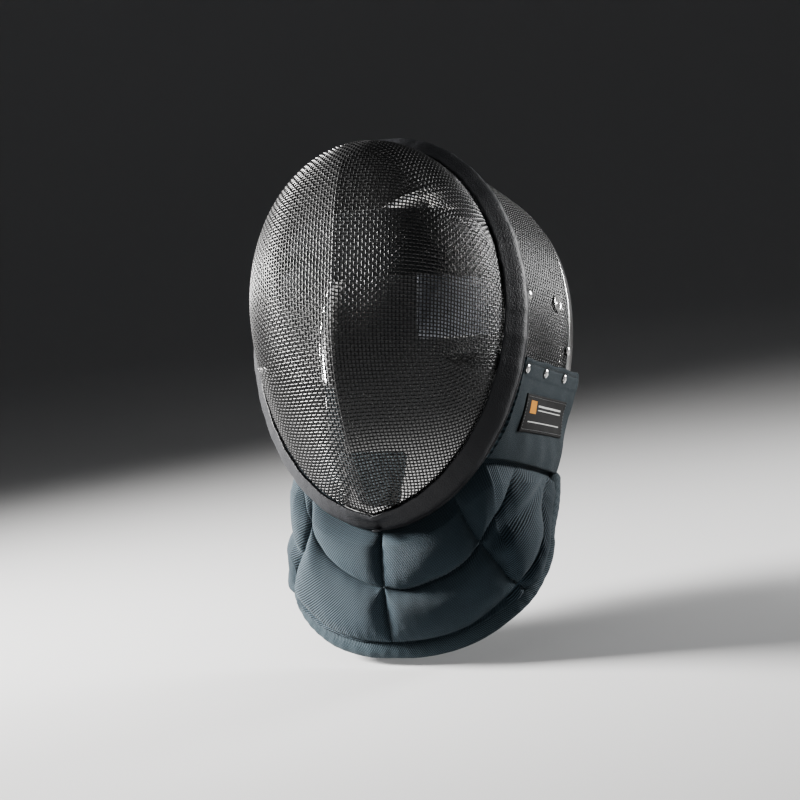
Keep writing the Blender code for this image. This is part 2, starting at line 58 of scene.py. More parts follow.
def place(x, up, forward):
    # from the plane of the face to the upright mask
    forward = forward - mask["bow"] * (x / mask["halfWidth"]) ** 2
    tiltSin, tiltCos = math.sin(mask["tilt"]), math.cos(mask["tilt"])
    y = up * tiltSin - forward * tiltCos - mask["back"]
    return Vector((x, y, up * tiltCos + forward * tiltSin - mask["down"]))


def signed(value, power):
    return math.copysign(abs(value) ** power, value)


def egg(angle, grow=0.0, crownDrop=0.0, square=None):
    c, s = math.cos(angle), math.sin(angle)
    if s < 0:
        square = mask["squareChin"]
        tall = mask["below"]
    else:
        square = square or mask["squareTop"]
        tall = mask["above"] - crownDrop
    return (mask["halfWidth"] + grow) * signed(c, 2 / square), (tall + grow) * signed(s, 2 / square)


def smooth(a, b, share):
    share = min(max(share, 0.0), 1.0)
    return a + (b - a) * share * share * (3 - 2 * share)


def ramp(value, start, span):
    # 0 up to the start, 1 from the end of the span on
    return smooth(0.0, 1.0, (value - start) / span)


def steps(low, high, count):
    return [low + (high - low) * i / (count - 1) for i in range(count)]


def eased(count, ends):
    # shares from 0 to 1 that crowd together towards both ends
    return [t - ends * math.sin(2 * math.pi * t) / (2 * math.pi) for t in steps(0.0, 1.0, count)]


def roundOver(share):
    # the height of a rounded edge, 1 from where the share is 1
    return math.sqrt(max(0.0, 1 - max(0.0, 1 - share) ** 2))


def bell(off, width):
    return math.exp(-(off / width) ** 2)


def curvePoint(p0, p1, p2, p3, t):
    # a point between p1 and p2 on a smooth line through all four
    bend, twist = 2 * p0 - 5 * p1 + 4 * p2 - p3, 3 * p1 - p0 - 3 * p2 + p3
    return 0.5 * ((2 * p1) + (p2 - p0) * t + bend * t * t + twist * t ** 3)


def closedCurve(points, count):
    n = len(points)
    made = []
    for k in range(n):
        near = [np.array(points[(k + m) % n], dtype=float) for m in (-1, 0, 1, 2)]
        made += [curvePoint(*near, s / count) for s in range(count)]
    return made


def openCurve(points, count):
    ends = [points[0] * 2 - points[1]] + list(points) + [points[-1] * 2 - points[-2]]
    made = []
    for k in range(1, len(ends) - 2):
        made += [curvePoint(*ends[k - 1:k + 3], n / count) for n in range(count)]
    return made + [points[-1].copy()]


# helpers for meshes
def newPiece(name, verts, faces, material, uv=None, sharp=None):
    mesh = bpy.data.meshes.new(name)
    mesh.from_pydata(verts, [], faces)
    mesh.update()
    piece = bpy.data.objects.new(name, mesh)
    bpy.context.scene.collection.objects.link(piece)
    if uv is not None:
        layer = mesh.uv_layers.new(name="weave")
        corner = np.empty(len(mesh.loops), dtype=np.int32)
        mesh.loops.foreach_get("vertex_index", corner)
        layer.data.foreach_set("uv", np.asarray(uv, dtype=np.float32)[corner].ravel())
    mesh.shade_smooth()
    if sharp:
        mesh.set_sharp_from_angle(angle=math.radians(sharp))
    mesh.materials.append(material)
    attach(piece, "root")
    return piece


def faceOut(mesh):
    shell = bmesh.new()
    shell.from_mesh(mesh)
    bmesh.ops.recalc_face_normals(shell, faces=shell.faces)
    if shell.calc_volume(signed=True) < 0:
        bmesh.ops.reverse_faces(shell, faces=shell.faces)
    shell.to_mesh(mesh)
    shell.free()


def gridFaces(rows, columns, start=0, flip=False, wrap=False):
    faces = []
    for i in range(rows - 1):
        for j in range(columns if wrap else columns - 1):
            k = (j + 1) % columns
            a, b = start + i * columns + j, start + i * columns + k
            c, d = start + (i + 1) * columns + k, start + (i + 1) * columns + j
            faces.append((a, d, c, b) if flip else (a, b, c, d))
    return faces


def slab(name, rows, material):
    # a closed wall from rows of (outer point, inner point, uv)
    high, wide = len(rows), len(rows[0])
    verts = [tuple(spot[face]) for face in (0, 1) for row in rows for spot in row]
    uv = [spot[2] for row in rows for spot in row] * 2
    back = high * wide
    faces = gridFaces(high, wide) + gridFaces(high, wide, back, flip=True)
    for i in range(high - 1):
        for j in (0, wide - 1):
            a, b = i * wide + j, (i + 1) * wide + j
            faces.append((a, b, back + b, back + a) if j == 0 else (a, back + a, back + b, b))
    for j in range(wide - 1):
        for i in (0, high - 1):
            a, b = i * wide + j, i * wide + j + 1
            faces.append((a, back + a, back + b, b) if i == 0 else (a, b, back + b, back + a))
    piece = newPiece(name, verts, faces, material, uv)
    faceOut(piece.data)
    return piece


def sweep(name, sections, material, closed, uv=None, sharp=None):
    # a solid through sections that all have the same number of points
    count = len(sections[0])
    verts = [tuple(p) for section in sections for p in section]
    faces = gridFaces(len(sections), count, wrap=True)
    last = (len(sections) - 1) * count
    if closed:
        faces += [(last + j, last + (j + 1) % count, (j + 1) % count, j) for j in range(count)]
    else:
        faces += [tuple(range(count)), tuple(range(last, last + count))]
    piece = newPiece(name, verts, faces, material, uv, sharp)
    faceOut(piece.data)
    return piece


def tubes(name, wires, radius, sides, slotName, material):
    # wires is a list of (centres, normals) arrays
    verts, faces, start = [], [], 0
    turn = np.arange(sides) * 2 * math.pi / sides
    for centres, normals in wires:
        n = len(centres)
        along = np.gradient(centres, axis=0)
        along /= np.linalg.norm(along, axis=1)[:, None]
        across = np.cross(along, normals)
        across /= np.linalg.norm(across, axis=1)[:, None]
        lift = np.cross(across, along)
        ring = centres[:, None] + radius * (
            np.cos(turn)[None, :, None] * lift[:, None] + np.sin(turn)[None, :, None] * across[:, None]
        )
        verts.append(ring.reshape(-1, 3))
        i = np.arange(n - 1)[:, None] * sides
        j = np.arange(sides)[None, :]
        k = (j + 1) % sides
        quads = np.stack([i + j, i + k, i + sides + k, i + sides + j], axis=-1)
        faces.extend((quads.reshape(-1, 4) + start).tolist())
        faces.append([start + s for s in range(sides)][::-1])
        faces.append([start + (n - 1) * sides + s for s in range(sides)])
        start += n * sides
    return newPiece(name, np.concatenate(verts).tolist(), faces, material)


def weave(knots, fixed, crimp):
    # the wires of one direction, over and under those of the other
    lines = {}
    for key in knots:
        lines.setdefault(key[fixed], []).append(key)
    wires, first = [], 1 if fixed == 0 else -1
    for _, keys in sorted(lines.items()):
        keys.sort()
        runs = [[keys[0]]]
        for key in keys[1:]:
            if key[1 - fixed] != runs[-1][-1][1 - fixed] + 1:
                runs.append([])
            runs[-1].append(key)
        for run in runs:
            if len(run) < 3:
                continue
            centres = np.array([knots[k][0] for k in run])
            normals = np.array([knots[k][1] for k in run])
            over = np.array([first if (k[0] + k[1]) % 2 == 0 else -first for k in run])
            wires.append((centres + normals * (over * crimp)[:, None], normals))
    return wires


# shader helpers
class Wire:
    # a shader value that can be reckoned with
    def __init__(self, tree, socket):
        self.tree = tree
        self.socket = socket

    def calc(self, operation, other=None, turned=False):
        node = self.tree.nodes.new("ShaderNodeMath")
        node.operation = operation
        for slot, value in zip(node.inputs, (other, self) if turned else (self, other)):
            if isinstance(value, Wire):
                self.tree.links.new(value.socket, slot)
            elif value is not None:
                slot.default_value = value
        return Wire(self.tree, node.outputs[0])

    def wave(self):
        return self.calc("SINE") * 0.5 + 0.5

    def __add__(self, other):
        return self.calc("ADD", other)

    __radd__ = __add__

    def __mul__(self, other):
        return self.calc("MULTIPLY", other)

    __rmul__ = __mul__

    def __sub__(self, other):
        return self.calc("SUBTRACT", other)

    def __rsub__(self, other):
        return self.calc("SUBTRACT", other, turned=True)


class Finish:
    def __init__(self, name, **fixed):
        self.material = bpy.data.materials.new(name)
        self.material.use_nodes = True
        self.tree = self.material.node_tree
        self.shader = self.tree.nodes["Principled BSDF"]
        for key, value in fixed.items():
            self.shader.inputs[key.replace("_", " ")].default_value = value

    def node(self, kind, settings=None, sockets=None, out=0):
        made = self.tree.nodes.new(kind)
        for key, value in (settings or {}).items():
            setattr(made, key, value)
        for key, value in (sockets or {}).items():
            if isinstance(value, Wire):
                self.tree.links.new(value.socket, made.inputs[key])
            else:
                made.inputs[key].default_value = value
        return Wire(self.tree, made.outputs[out])

    def feed(self, **inputs):
        for key, value in inputs.items():
            self.tree.links.new(value.socket, self.shader.inputs[key.replace("_", " ")])

    def mix(self, factor, first, second):
        sockets = {0: factor, 6: first, 7: second}
        return self.node("ShaderNodeMix", {"data_type": "RGBA"}, sockets, out=2)

    def tint(self, factor, dark, light):
        return self.mix(factor, (*dark, 1.0), (*light, 1.0))

    def place(self):
        return self.node("ShaderNodeTexCoord", out="Object")

    def cloth(self):
        # metres of cloth across and down
        plan = self.node("ShaderNodeUVMap", {"uv_map": "weave"})
        split = self.tree.nodes.new("ShaderNodeSeparateXYZ")
        self.tree.links.new(plan.socket, split.inputs[0])
        return Wire(self.tree, split.outputs[0]), Wire(self.tree, split.outputs[1])

    def noise(self, where, scale, detail=2.0, rough=0.5):
        sockets = {"Vector": where, "Scale": scale, "Detail": detail, "Roughness": rough}
        return self.node("ShaderNodeTexNoise", None, sockets)

    def cells(self, where, scale, uneven):
        sockets = {"Vector": where, "Scale": scale, "Randomness": uneven}
        return self.node("ShaderNodeTexVoronoi", {"feature": "F1"}, sockets)

    def relief(self, height, distance, strength=1.0):
        sockets = {"Height": height, "Distance": distance, "Strength": strength}
        self.feed(Normal=self.node("ShaderNodeBump", None, sockets))


def enamelledWire(name, base, coat):
    paint = Finish(name, Metallic=0.0, Coat_Weight=coat, Coat_Roughness=0.2, Specular_IOR_Level=0.5)
    where = paint.place()
    grain = paint.noise(where, 900.0, 3.0)
    worn = paint.noise(where, 60.0, 2.0)
    dark, light = (base * 0.6, base * 0.6, base * 0.62), (base * 1.6, base * 1.6, base * 1.65)
    paint.feed(Base_Color=paint.tint(worn, dark, light), Roughness=0.32 + grain * 0.2)
    paint.relief(grain, 0.00008, 0.4)
    return paint.material


def leatherette(name):
    paint = Finish(name, Specular_IOR_Level=0.38)
    where = paint.place()
    pebbles = paint.cells(where, 820.0, 1.0)
    fine = paint.noise(where, 900.0, 3.0, 0.6)
    creases = paint.noise(where, 160.0, 5.0, 0.65)
    patches = paint.noise(where, 28.0, 2.0)
    shade = creases * 0.5 + patches * 0.4 + fine * 0.2
    paint.feed(
        Base_Color=paint.tint(shade, (0.006, 0.0065, 0.008), (0.026, 0.027, 0.031)),
        Roughness=0.34 + creases * 0.26 + patches * 0.10,
    )
    paint.relief((1.0 - pebbles) * 0.8 + creases * 0.5 + fine * 0.4, 0.00036, 0.75)
    return paint.material


def twill(name, dark, light, pitch=0.00125, lean=-47.0, relief=0.00045):
    paint = Finish(name, Sheen_Weight=0.07, Sheen_Roughness=0.4, Specular_IOR_Level=0.25)
    across, down = paint.cloth()
    where = paint.place()
    drift = paint.noise(where, 85.0, 2.0) * 2.2 + paint.noise(where, 420.0, 2.0) * 2.0
    fluff = paint.noise(where, 1300.0, 2.0)
    patches = paint.noise(where, 20.0, 3.0)
    turn = math.radians(lean)
    turnSin, turnCos = math.sin(turn), math.cos(turn)
    ribs = (across * turnSin - down * turnCos) * (2 * math.pi / pitch) + drift
    floats = (across * turnCos + down * turnSin) * (2 * math.pi / (pitch * 1.7)) + ribs * 0.5
    ridge = ribs.wave()
    thread = floats.wave()
    weave = ridge * 0.70 + thread * ridge * 0.30
    shade = weave * 0.86 + fluff * 0.18 + patches * 0.20 - 0.12
    paint.feed(Base_Color=paint.tint(shade, dark, light), Roughness=0.66 + fluff * 0.22)
    paint.relief(weave + fluff * 0.3, relief, 1.0)
    return paint.material


def polishedSteel(name, rough=0.16):
    paint = Finish(name, Metallic=1.0)
    where = paint.place()
    streaks = paint.node("ShaderNodeMapping", None, {"Vector": where, "Scale": (60.0, 1200.0, 1200.0)})
    brush = paint.noise(streaks, 1.0, 3.0)
    smudge = paint.noise(where, 45.0, 3.0)
    paint.feed(
        Base_Color=paint.tint(smudge, (0.60, 0.60, 0.60), (0.80, 0.79, 0.77)),
        Roughness=rough - 0.05 + brush * 0.10 + smudge * 0.08,
    )
    paint.relief(brush, 0.00003, 0.4)
    return paint.material


def liningCloth(name, dark, light):
    paint = Finish(name, Sheen_Weight=0.25, Specular_IOR_Level=0.25)
    where = paint.place()
    knit = paint.cells(where, 700.0, 0.35)
    fluff = paint.noise(where, 1400.0, 2.0)
    patches = paint.noise(where, 30.0, 3.0)
    paint.feed(
        Base_Color=paint.tint(knit * 0.5 + fluff * 0.25 + patches * 0.3, dark, light),
        Roughness=0.82 + fluff * 0.14,
    )
    paint.relief((1.0 - knit) + fluff * 0.4, 0.0003, 0.8)
    return paint.material


def wovenLabel(name):
    # bare woven label: a plain ground with one warm bar and two pale lines
    paint = Finish(name, Specular_IOR_Level=0.15)
    along, down = paint.cloth()
    where = paint.place()
    fluff = paint.noise(where, 1600.0, 2.0)
    rows = (down * (2 * math.pi / 0.0006)).wave()
    lines = (along * (2 * math.pi / 0.0009)).wave()

    def within(value, low, high):
        return value.calc("GREATER_THAN", low) * value.calc("LESS_THAN", high)

    bar = within(along, 0.010, 0.024) * within(down, 0.0045, 0.0140)
    pair = within(down, 0.0072, 0.0086) + within(down, 0.0106, 0.0114)
    pale = within(along, 0.028, 0.085) * pair
    pale = pale + within(along, 0.010, 0.085) * within(down, 0.0198, 0.0206)
    ground = paint.tint(rows * 0.5 + fluff * 0.4, (0.003, 0.003, 0.0035), (0.012, 0.0115, 0.011))
    warm = paint.mix(bar, ground, (0.62, 0.27, 0.04, 1.0))
    full = paint.mix(pale, warm, (0.62, 0.62, 0.60, 1.0))
    paint.feed(Base_Color=full, Roughness=0.62 + fluff * 0.2)
    paint.relief(rows * 0.6 + lines * 0.4 + bar * 0.5 + pale * 0.5, 0.00018, 0.8)
    return paint.material


def plainThread(name, colour):
    paint = Finish(name, Sheen_Weight=0.3)
    where = paint.place()
    twist = paint.noise(where, 2600.0, 2.0)
    dark, light = tuple(c * 0.6 for c in colour), tuple(min(c * 1.5, 1.0) for c in colour)
    paint.feed(Base_Color=paint.tint(twist, dark, light), Roughness=0.6 + twist * 0.25)
    return paint.material


looks = {
    "faceWire": enamelledWire("faceEnamel", 0.018, 0.28),
    # side wires: the same black enamel as the face wires, with half their base colour as painted shade,
    # so the side mesh reads darker
    "sideWire": enamelledWire("sideEnamelPaintedShade", 0.009, 0.06),
    "trim": leatherette("trimLeatherette"),
    "steel": polishedSteel("polishedSteel"),
    "rivet": polishedSteel("rivetNickel", 0.20),
    "twill": twill("slateTwill", (0.002, 0.0045, 0.0065), (0.060, 0.093, 0.116)),
    "flapTwill": twill("flapTwill", (0.003, 0.006, 0.009), (0.040, 0.064, 0.078), lean=-75.0),
    "hemTwill": twill("hemTwill", (0.004, 0.008, 0.011), (0.070, 0.104, 0.124), lean=-62.0),
    "lining": liningCloth("darkLining", (0.010, 0.011, 0.013), (0.050, 0.054, 0.060)),
    # tongue pad: grey cloth, its colour made lighter as painted light, so the pad reads lit behind the
    # mesh
    "backPad": liningCloth("greyLiningPaintedLight", (0.15, 0.16, 0.18), (0.38, 0.40, 0.45)),
    # chin pad: light blue-grey cloth, its colour raised to near white as painted light, so it reads
    # bright in the shade behind the mesh
    "chin": liningCloth("chinLiningPaintedLight", (0.54, 0.65, 0.72), (0.84, 0.93, 0.97)),
    "label": wovenLabel("bareLabel"),
    "thread": plainThread("darkThread", (0.012, 0.016, 0.020)),
    "labelThread": plainThread("paleThread", (0.20, 0.20, 0.20)),
    "quiltThread": plainThread("slateThread", (0.10, 0.13, 0.15)),
}
print("materials made")

# the dome of the face, woven from two sets of wires
dome = {
    "inset": 0.0082,
    "depth": 0.088,
    "foot": 0.0080,
    "keel": 0.10,
    "pitch": 0.00265,
    "wireRadius": 0.00056,
    "crimp": 0.00046,
    "sides": 6,
    "crease": 0.0036,
    "creaseWidth": 0.017,
    "creaseTop": 0.118,
    "creaseFade": 0.035,
    "chinPoint": 0.0042,
    "chinSpan": 9.0,
    # powers of the side view at the chin, and what the crown adds
    "fall": 2.3,
    "fallCrown": 1.7,
    "root": 1.0,
    "rootCrown": 1.4,
    "tuckedIn": 1.085,
}


def chinDrop(angle):
    # the rim comes to a point at the chin
    off = np.abs((np.degrees(angle) + 270) % 360 - 180)
    return dome["chinPoint"] * np.exp(-off / dome["chinSpan"])


def ease(t):
    t = np.clip(t, 0.0, 1.0)
    return t * t * (3 - 2 * t)


def domePoint(reach, angle):
    # the reach runs from 0 at the top of the dome to 1 at its rim, and on down its foot
    share = np.minimum(reach, 1.0)
    c, s = np.cos(angle), np.sin(angle)
    square = np.where(s >= 0, mask["squareTop"], mask["squareChin"])
    tall = np.where(s >= 0, mask["above"], mask["below"])
    grow = chinDrop(angle) * share ** 6 - dome["inset"]
    x = (mask["halfWidth"] + grow) * np.sign(c) * np.abs(c) ** (2 / square)
    up = (tall + grow) * np.sign(s) * np.abs(s) ** (2 / square)
    high = ease(0.5 + 0.5 * s)
    fall, root = dome["fall"] + dome["fallCrown"] * high, dome["root"] + dome["rootCrown"] * high
    keel = dome["keel"] * np.abs(x) / mask["halfWidth"] * share * (1 - share ** 2)
    rise = np.maximum(1 - share ** fall - keel, 0.0) ** (1 / root)
    crease = np.exp(-np.abs(x * share) / dome["creaseWidth"]) - 0.25
    fade = ease((dome["creaseTop"] - up * share) / dome["creaseFade"]) * (1 - share ** 5)
    over = dome["foot"] + (dome["depth"] - dome["foot"]) * rise + dome["crease"] * crease * fade
    foot = dome["foot"] * (1 - (reach - 1.0) / 0.1)
    forward = np.where(reach > 1.0, foot, over)
    x, up = x * share, up * share
    forward = forward - mask["bow"] * (x / mask["halfWidth"]) ** 2
    tiltSin, tiltCos = math.sin(mask["tilt"]), math.cos(mask["tilt"])
    y = up * tiltSin - forward * tiltCos - mask["back"]
    return np.stack([x, y, up * tiltCos + forward * tiltSin - mask["down"]], axis=-1)


rays = {"turns": 145, "step": 0.0002, "count": 1250, "far": 1.6, "fine": 5001}


def rayReaches():
    # the reach at even lengths of cloth along rays from the top of the dome
    fine = np.linspace(0.0, rays["far"], rays["fine"])
    rows = []
    for turn in np.linspace(-math.pi, math.pi, rays["turns"]):
        line = domePoint(fine, np.full_like(fine, turn))
        run = np.concatenate([[0.0], np.cumsum(np.linalg.norm(np.diff(line, axis=0), axis=1))])
        rows.append(np.interp(np.arange(rays["count"]) * rays["step"], run, fine))
    return np.array(rows)


reaches = rayReaches()


def reachAt(p, q):
    # p and q are metres along the dome from its top
    tall = np.where(q >= 0, mask["above"], mask["below"])
    angle = np.arctan2(q / tall, p / mask["halfWidth"])
    turn = (angle + math.pi) / (2 * math.pi) * (rays["turns"] - 1)
    along = np.minimum(np.hypot(p, q) / rays["step"], rays["count"] - 1.001)
    i, k = np.minimum(turn.astype(int), rays["turns"] - 2), along.astype(int)
    u, v = turn - i, along - k
    low = reaches[i, k] * (1 - v) + reaches[i, k + 1] * v
    high = reaches[i + 1, k] * (1 - v) + reaches[i + 1, k + 1] * v
    return low * (1 - u) + high * u, angle


def domeMany(p, q):
    return domePoint(*reachAt(p, q))


# how far the net is laid, and how it settles
net = {
    "right": 0.175,
    "above": 0.195,
    "below": 0.205,
    "farReach": 1.40,
    "shear": 0.10,
    "speed": 0.32,
    "longest": 0.001,
    "coarse": 4,
    "coarseRounds": 1500,
    "fineRounds": 130,
}


def netOn(pitch):
    # square cells laid over the right half of the dome
    below = math.ceil(net["below"] / pitch)
    right = np.arange(0, math.ceil(net["right"] / pitch)) * pitch
    tall = np.arange(-below, math.ceil(net["above"] / pitch)) * pitch
    p, q = np.meshgrid(right, tall, indexing="ij")
    return p, q, below


def finer(grid, times):
    # the same net with more wires between its own
    i = np.arange((grid.shape[0] - 1) * times + 1) / times
    j = np.arange((grid.shape[1] - 1) * times + 1) / times
    first = np.minimum(i.astype(int), grid.shape[0] - 2)
    second = np.minimum(j.astype(int), grid.shape[1] - 2)
    u, v = (i - first)[:, None], (j - second)[None, :]
    low = grid[first][:, second] * (1 - v) + grid[first][:, second + 1] * v
    high = grid[first + 1][:, second] * (1 - v) + grid[first + 1][:, second + 1] * v
    return low * (1 - u) + high * u


def netLinks(kept, pitch):
    # pairs of knots, with the length and the stiffness between them
    links = []
    rows, columns = kept.shape
    for di, dj in ((1, 0), (0, 1), (1, 1), (1, -1)):
        rest, stiff = (1.414, net["shear"]) if di and dj else (1.0, 1.0)
        across, down = np.arange(rows - di), np.arange(max(0, -dj), columns - max(0, dj))
        i, j = (grid.ravel() for grid in np.meshgrid(across, down, indexing="ij"))
        both = kept[i, j] & kept[i + di, j + dj]
        links.append((i[both], j[both], i[both] + di, j[both] + dj, rest * pitch, stiff))
    return links


def relax(p, q, middle, pitch, rounds):
    # the net shears until its wires are evenly long
    kept = reachAt(p, q)[0] < net["farReach"]
    links = netLinks(kept, pitch)
    h, most = 2e-6, net["longest"]
    for _ in range(rounds):
        here = domeMany(p, q)
        pull = np.zeros_like(here)
        for i, j, k, l, rest, stiff in links:
            gap = here[k, l] - here[i, j]
            size = np.linalg.norm(gap, axis=1)[:, None]
            force = gap / size * (size - rest) * stiff
            np.add.at(pull, (i, j), force)
            np.add.at(pull, (k, l), -force)
        dp, dq = (domeMany(p + h, q) - here) / h, (domeMany(p, q + h) - here) / h
        pp, pq, qq = (dp * dp).sum(-1), (dp * dq).sum(-1), (dq * dq).sum(-1)
        fp, fq = (dp * pull).sum(-1), (dq * pull).sum(-1)
        det = pp * qq - pq * pq + 1e-12
        p = p + np.clip((qq * fp - pq * fq) / det * net["speed"], -most, most) * kept
        q = q + np.clip((pp * fq - pq * fp) / det * net["speed"], -most, most) * kept
        p[0] = 0.0
        q[0, middle] = 0.0
    return p, q


def weaveDome(pitch):
    coarse = net["coarse"]
    p, q, middle = netOn(pitch * coarse)
    p, q = relax(p, q, middle, pitch * coarse, net["coarseRounds"])
    p, q, middle = finer(p, coarse), finer(q, coarse), middle * coarse
    p, q = relax(p, q, middle, pitch, net["fineRounds"])
    here = domeMany(p, q)
    inside = reachAt(p, q)[0] < dome["tuckedIn"]
    h = 0.0005
    a, b = domeMany(p + h, q) - domeMany(p - h, q), domeMany(p, q + h) - domeMany(p, q - h)
    out = np.cross(a, b)
    out /= np.linalg.norm(out, axis=-1)[..., None]
    out[0, :, 0] = 0.0
    for axis in (0, 1):
        both = inside[1:] & inside[:-1] if axis == 0 else inside[:, 1:] & inside[:, :-1]
        sizes = np.linalg.norm(np.diff(here, axis=axis), axis=-1)[both] / pitch
        low, high = round(float(sizes.min()), 2), round(float(sizes.max()), 2)
        print("cells", len(sizes), "from", low, "to", high)
    return here, out, inside, middle


def domeWires():
    here, outs, inside, centre = weaveDome(dome["pitch"])
    knots = {}
    middle = dome["wireRadius"] + dome["crimp"]
    mirror = np.array([-1.0, 1.0, 1.0])
    for i, j in zip(*np.nonzero(inside)):
        point = here[i, j] - outs[i, j] * middle
        turned = mirror if i else 1.0
        knots[(int(i), int(j) - centre)] = (point, outs[i, j])
        knots[(-int(i), int(j) - centre)] = (point * turned, outs[i, j] * turned)
    size = (dome["wireRadius"], dome["sides"], "wire", looks["faceWire"])
    upright = tubes("faceWiresUpright", weave(knots, 0, dome["crimp"]), *size)
    tubes("faceWiresAcross", weave(knots, 1, dome["crimp"]), *size)
    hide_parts("face_mesh")


domeWires()
print("face wires woven")

# the hoop of mesh over the crown and the sides
side = {
    "grow": 0.0015,
    "length": 0.1220,
    "taper": 0.0004,
    "rise": 0.0108,
    "crownDrop": 0.0091,
    "rearSquare": 2.22,
    "endAngle": -35.0,
    "cutAngle": -10,
    "lowCut": 0.020,
    "trimRear": 0.0118,
    "firstWire": 0.0080,
    "edging": 0.00085,
    "pitch": 0.00255,
    "wireRadius": 0.00048,
    "crimp": 0.00042,
    "sides": 5,
}


def sideShare(back):
    return max(back - side["trimRear"], 0.0) / (side["length"] - side["trimRear"])


def sideAt(angle, back, lift=0.0):
    share = sideShare(back)
    grow = side["grow"] - side["taper"] * share + lift
    square = mask["squareTop"] + (side["rearSquare"] - mask["squareTop"]) * share
    x, up = egg(angle, grow, side["crownDrop"] * share, square)
    return place(x, up + side["rise"] * share, -back)


def sideLengthAt(degrees):
    turned = degrees if degrees <= 90 else 180 - degrees
    low = max(0.0, side["cutAngle"] - turned) / (side["cutAngle"] - side["endAngle"])
    return side["length"] - side["lowCut"] * low ** 1.5


def sideNormal(angle, back):
    a = sideAt(angle + 0.01, back) - sideAt(angle - 0.01, back)
    b = sideAt(angle, back + 0.002) - sideAt(angle, max(back - 0.002, 0.0))
    return b.cross(a).normalized()


def sideWires():
    fine = [math.radians(a) for a in steps(side["endAngle"], 180 - side["endAngle"], 721)]
    points = [sideAt(a, 0.06) for a in fine]
    runs = np.concatenate([[0.0], np.cumsum([(b - a).length for a, b in zip(points, points[1:])])])
    count = int(runs[-1] / side["pitch"])
    angles = np.interp(np.linspace(0, runs[-1], count + 1), runs, fine)
    backs = np.arange(side["firstWire"], side["length"] + 1e-6, side["pitch"])
    knots = {}
    middle = side["wireRadius"] + side["crimp"]
    for i, angle in enumerate(angles):
        reach = sideLengthAt(math.degrees(angle))
        for j, back in enumerate(backs):
            if back > reach:
                break
            out = sideNormal(angle, back)
            knots[(i, j)] = (np.array(sideAt(angle, back) - out * middle), np.array(out))
    size = (side["wireRadius"], side["sides"], "wire", looks["sideWire"])
    along = tubes("sideWiresAlong", weave(knots, 0, side["crimp"]), *size)
    tubes("sideWiresRound", weave(knots, 1, side["crimp"]), *size)
    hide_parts("side_mesh")
    # a thin steel edging wire closes the cut ends at the rear
    centres, normals = [], []
    for a in steps(side["endAngle"] + 1, 180 - side["endAngle"] - 1, 240):
        angle = math.radians(a)
        out = sideNormal(angle, side["length"] - 0.002)
        centres.append(sideAt(angle, sideLengthAt(a) + 0.0008) - out * middle)
        normals.append(out)
    edge = [(np.array(centres), np.array(normals))]
    tubes("sideEdging", edge, side["edging"], 10, "steel", looks["steel"])


sideWires()
print("side wires woven")

# leatherette trim
trim = {"front": 0.0090, "rear": 0.0118, "wall": 0.0020, "around": 320, "smooth": 4}


def trimBand():
    innerFront = -dome["inset"] + mask["gap"]
    innerRear = side["grow"] + mask["gap"]
    wall, front, rear = trim["wall"], trim["front"], trim["rear"]
    spread = innerRear - innerFront
    outline = [
        (innerFront - 0.0002, front - 0.0022),
        (innerFront - 0.0001, front - 0.0006),
        (innerFront + 0.0005, front + 0.0004),
        (innerFront + 0.0015, front + 0.0003),
        (innerFront + 0.0029, front - 0.0013),
        (innerFront + 0.30 * spread + wall * 1.12, front * 0.55),
        (innerFront + 0.60 * spread + wall * 1.30, front * 0.12),
        (innerRear - 0.0011 + wall * 1.32, -rear * 0.25),
        (innerRear - 0.0001 + wall * 1.20, -rear * 0.52),
        (innerRear + 0.0001 + wall * 1.02, -rear * 0.66),
        (innerRear + wall * 0.82, -rear * 0.705),
        (innerRear + wall * 1.08, -rear * 0.75),
        (innerRear + wall * 1.10, -rear * 0.81),
        (innerRear + wall * 0.80, -rear * 0.855),
        (innerRear + wall * 1.08, -rear * 0.90),
        (innerRear + wall * 1.02, -rear * 0.99),
        (innerRear + wall * 0.55, -rear * 1.03),
        (innerRear + 0.0002, -rear * 1.0),
        (innerRear, -rear * 0.75),
        (innerRear, -rear * 0.45),
        (innerFront + 0.55 * spread, front * 0.30),
        (innerFront + 0.22 * spread, front * 0.60),
    ]
    profile = closedCurve(outline, trim["smooth"])
    sections, uv = [], []
    for i in range(trim["around"]):
        angle = 2 * math.pi * i / trim["around"]
        ripple = 0.00022 * math.sin(angle * 31 + 1.3 * math.sin(angle * 5))
        ripple += 0.00012 * math.sin(angle * 83)
        section = []
        for n, (grow, forward) in enumerate(profile):
            inner = min(max((float(forward) - front * 0.2) / (front * 0.6), 0.0), 1.0)
            wave = ripple if n < len(profile) * 0.6 else 0.0
            x, up = egg(angle, float(grow) + wave + chinDrop(angle) * inner)
            section.append(place(x, up, float(forward)))
            uv.append((i / trim["around"], n / len(profile)))
        sections.append(section)
    piece = sweep("trimBand", sections, looks["trim"], closed=True, uv=uv)
    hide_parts("trim")


trimBand()
print("trim made")

# steel rear band
band = {"wall": 0.0012, "width": 0.0290, "overlap": 0.0100, "endAngle": -13.0, "under": -0.0025}


def rearBand():
    sections = []
    edge, under = 0.00035, -band["wall"]
    for a in steps(band["endAngle"], 180 - band["endAngle"], 241):
        angle = math.radians(a)
        left = min(a - band["endAngle"], 180 - band["endAngle"] - a)
        narrow = 0.004 * max(0.0, 1 - left / 1.5) ** 2
        front = side["length"] - band["overlap"] + narrow
        rear = side["length"] - band["overlap"] + band["width"] - narrow
        middle, quarter = (front + rear) / 2, 0.25 * (rear - front)
        outline = [
            (front, -edge),
            (front + edge, 0.0),
            (front + quarter, 0.0002),
            (middle, 0.0003),
            (rear - quarter, 0.0002),
            (rear - edge, 0.0),
            (rear, -edge),
            (rear, under + edge),
            (rear - edge, under),
            (middle, under),
            (front + edge, under),
            (front, under + edge),
        ]
        sections.append([sideAt(angle, back, band["under"] + lift) for back, lift in outline])
    piece = sweep("rearBandSteel", sections, looks["steel"], closed=False, sharp=50)
    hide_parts("rear_band")


rearBand()
print("rear band made")

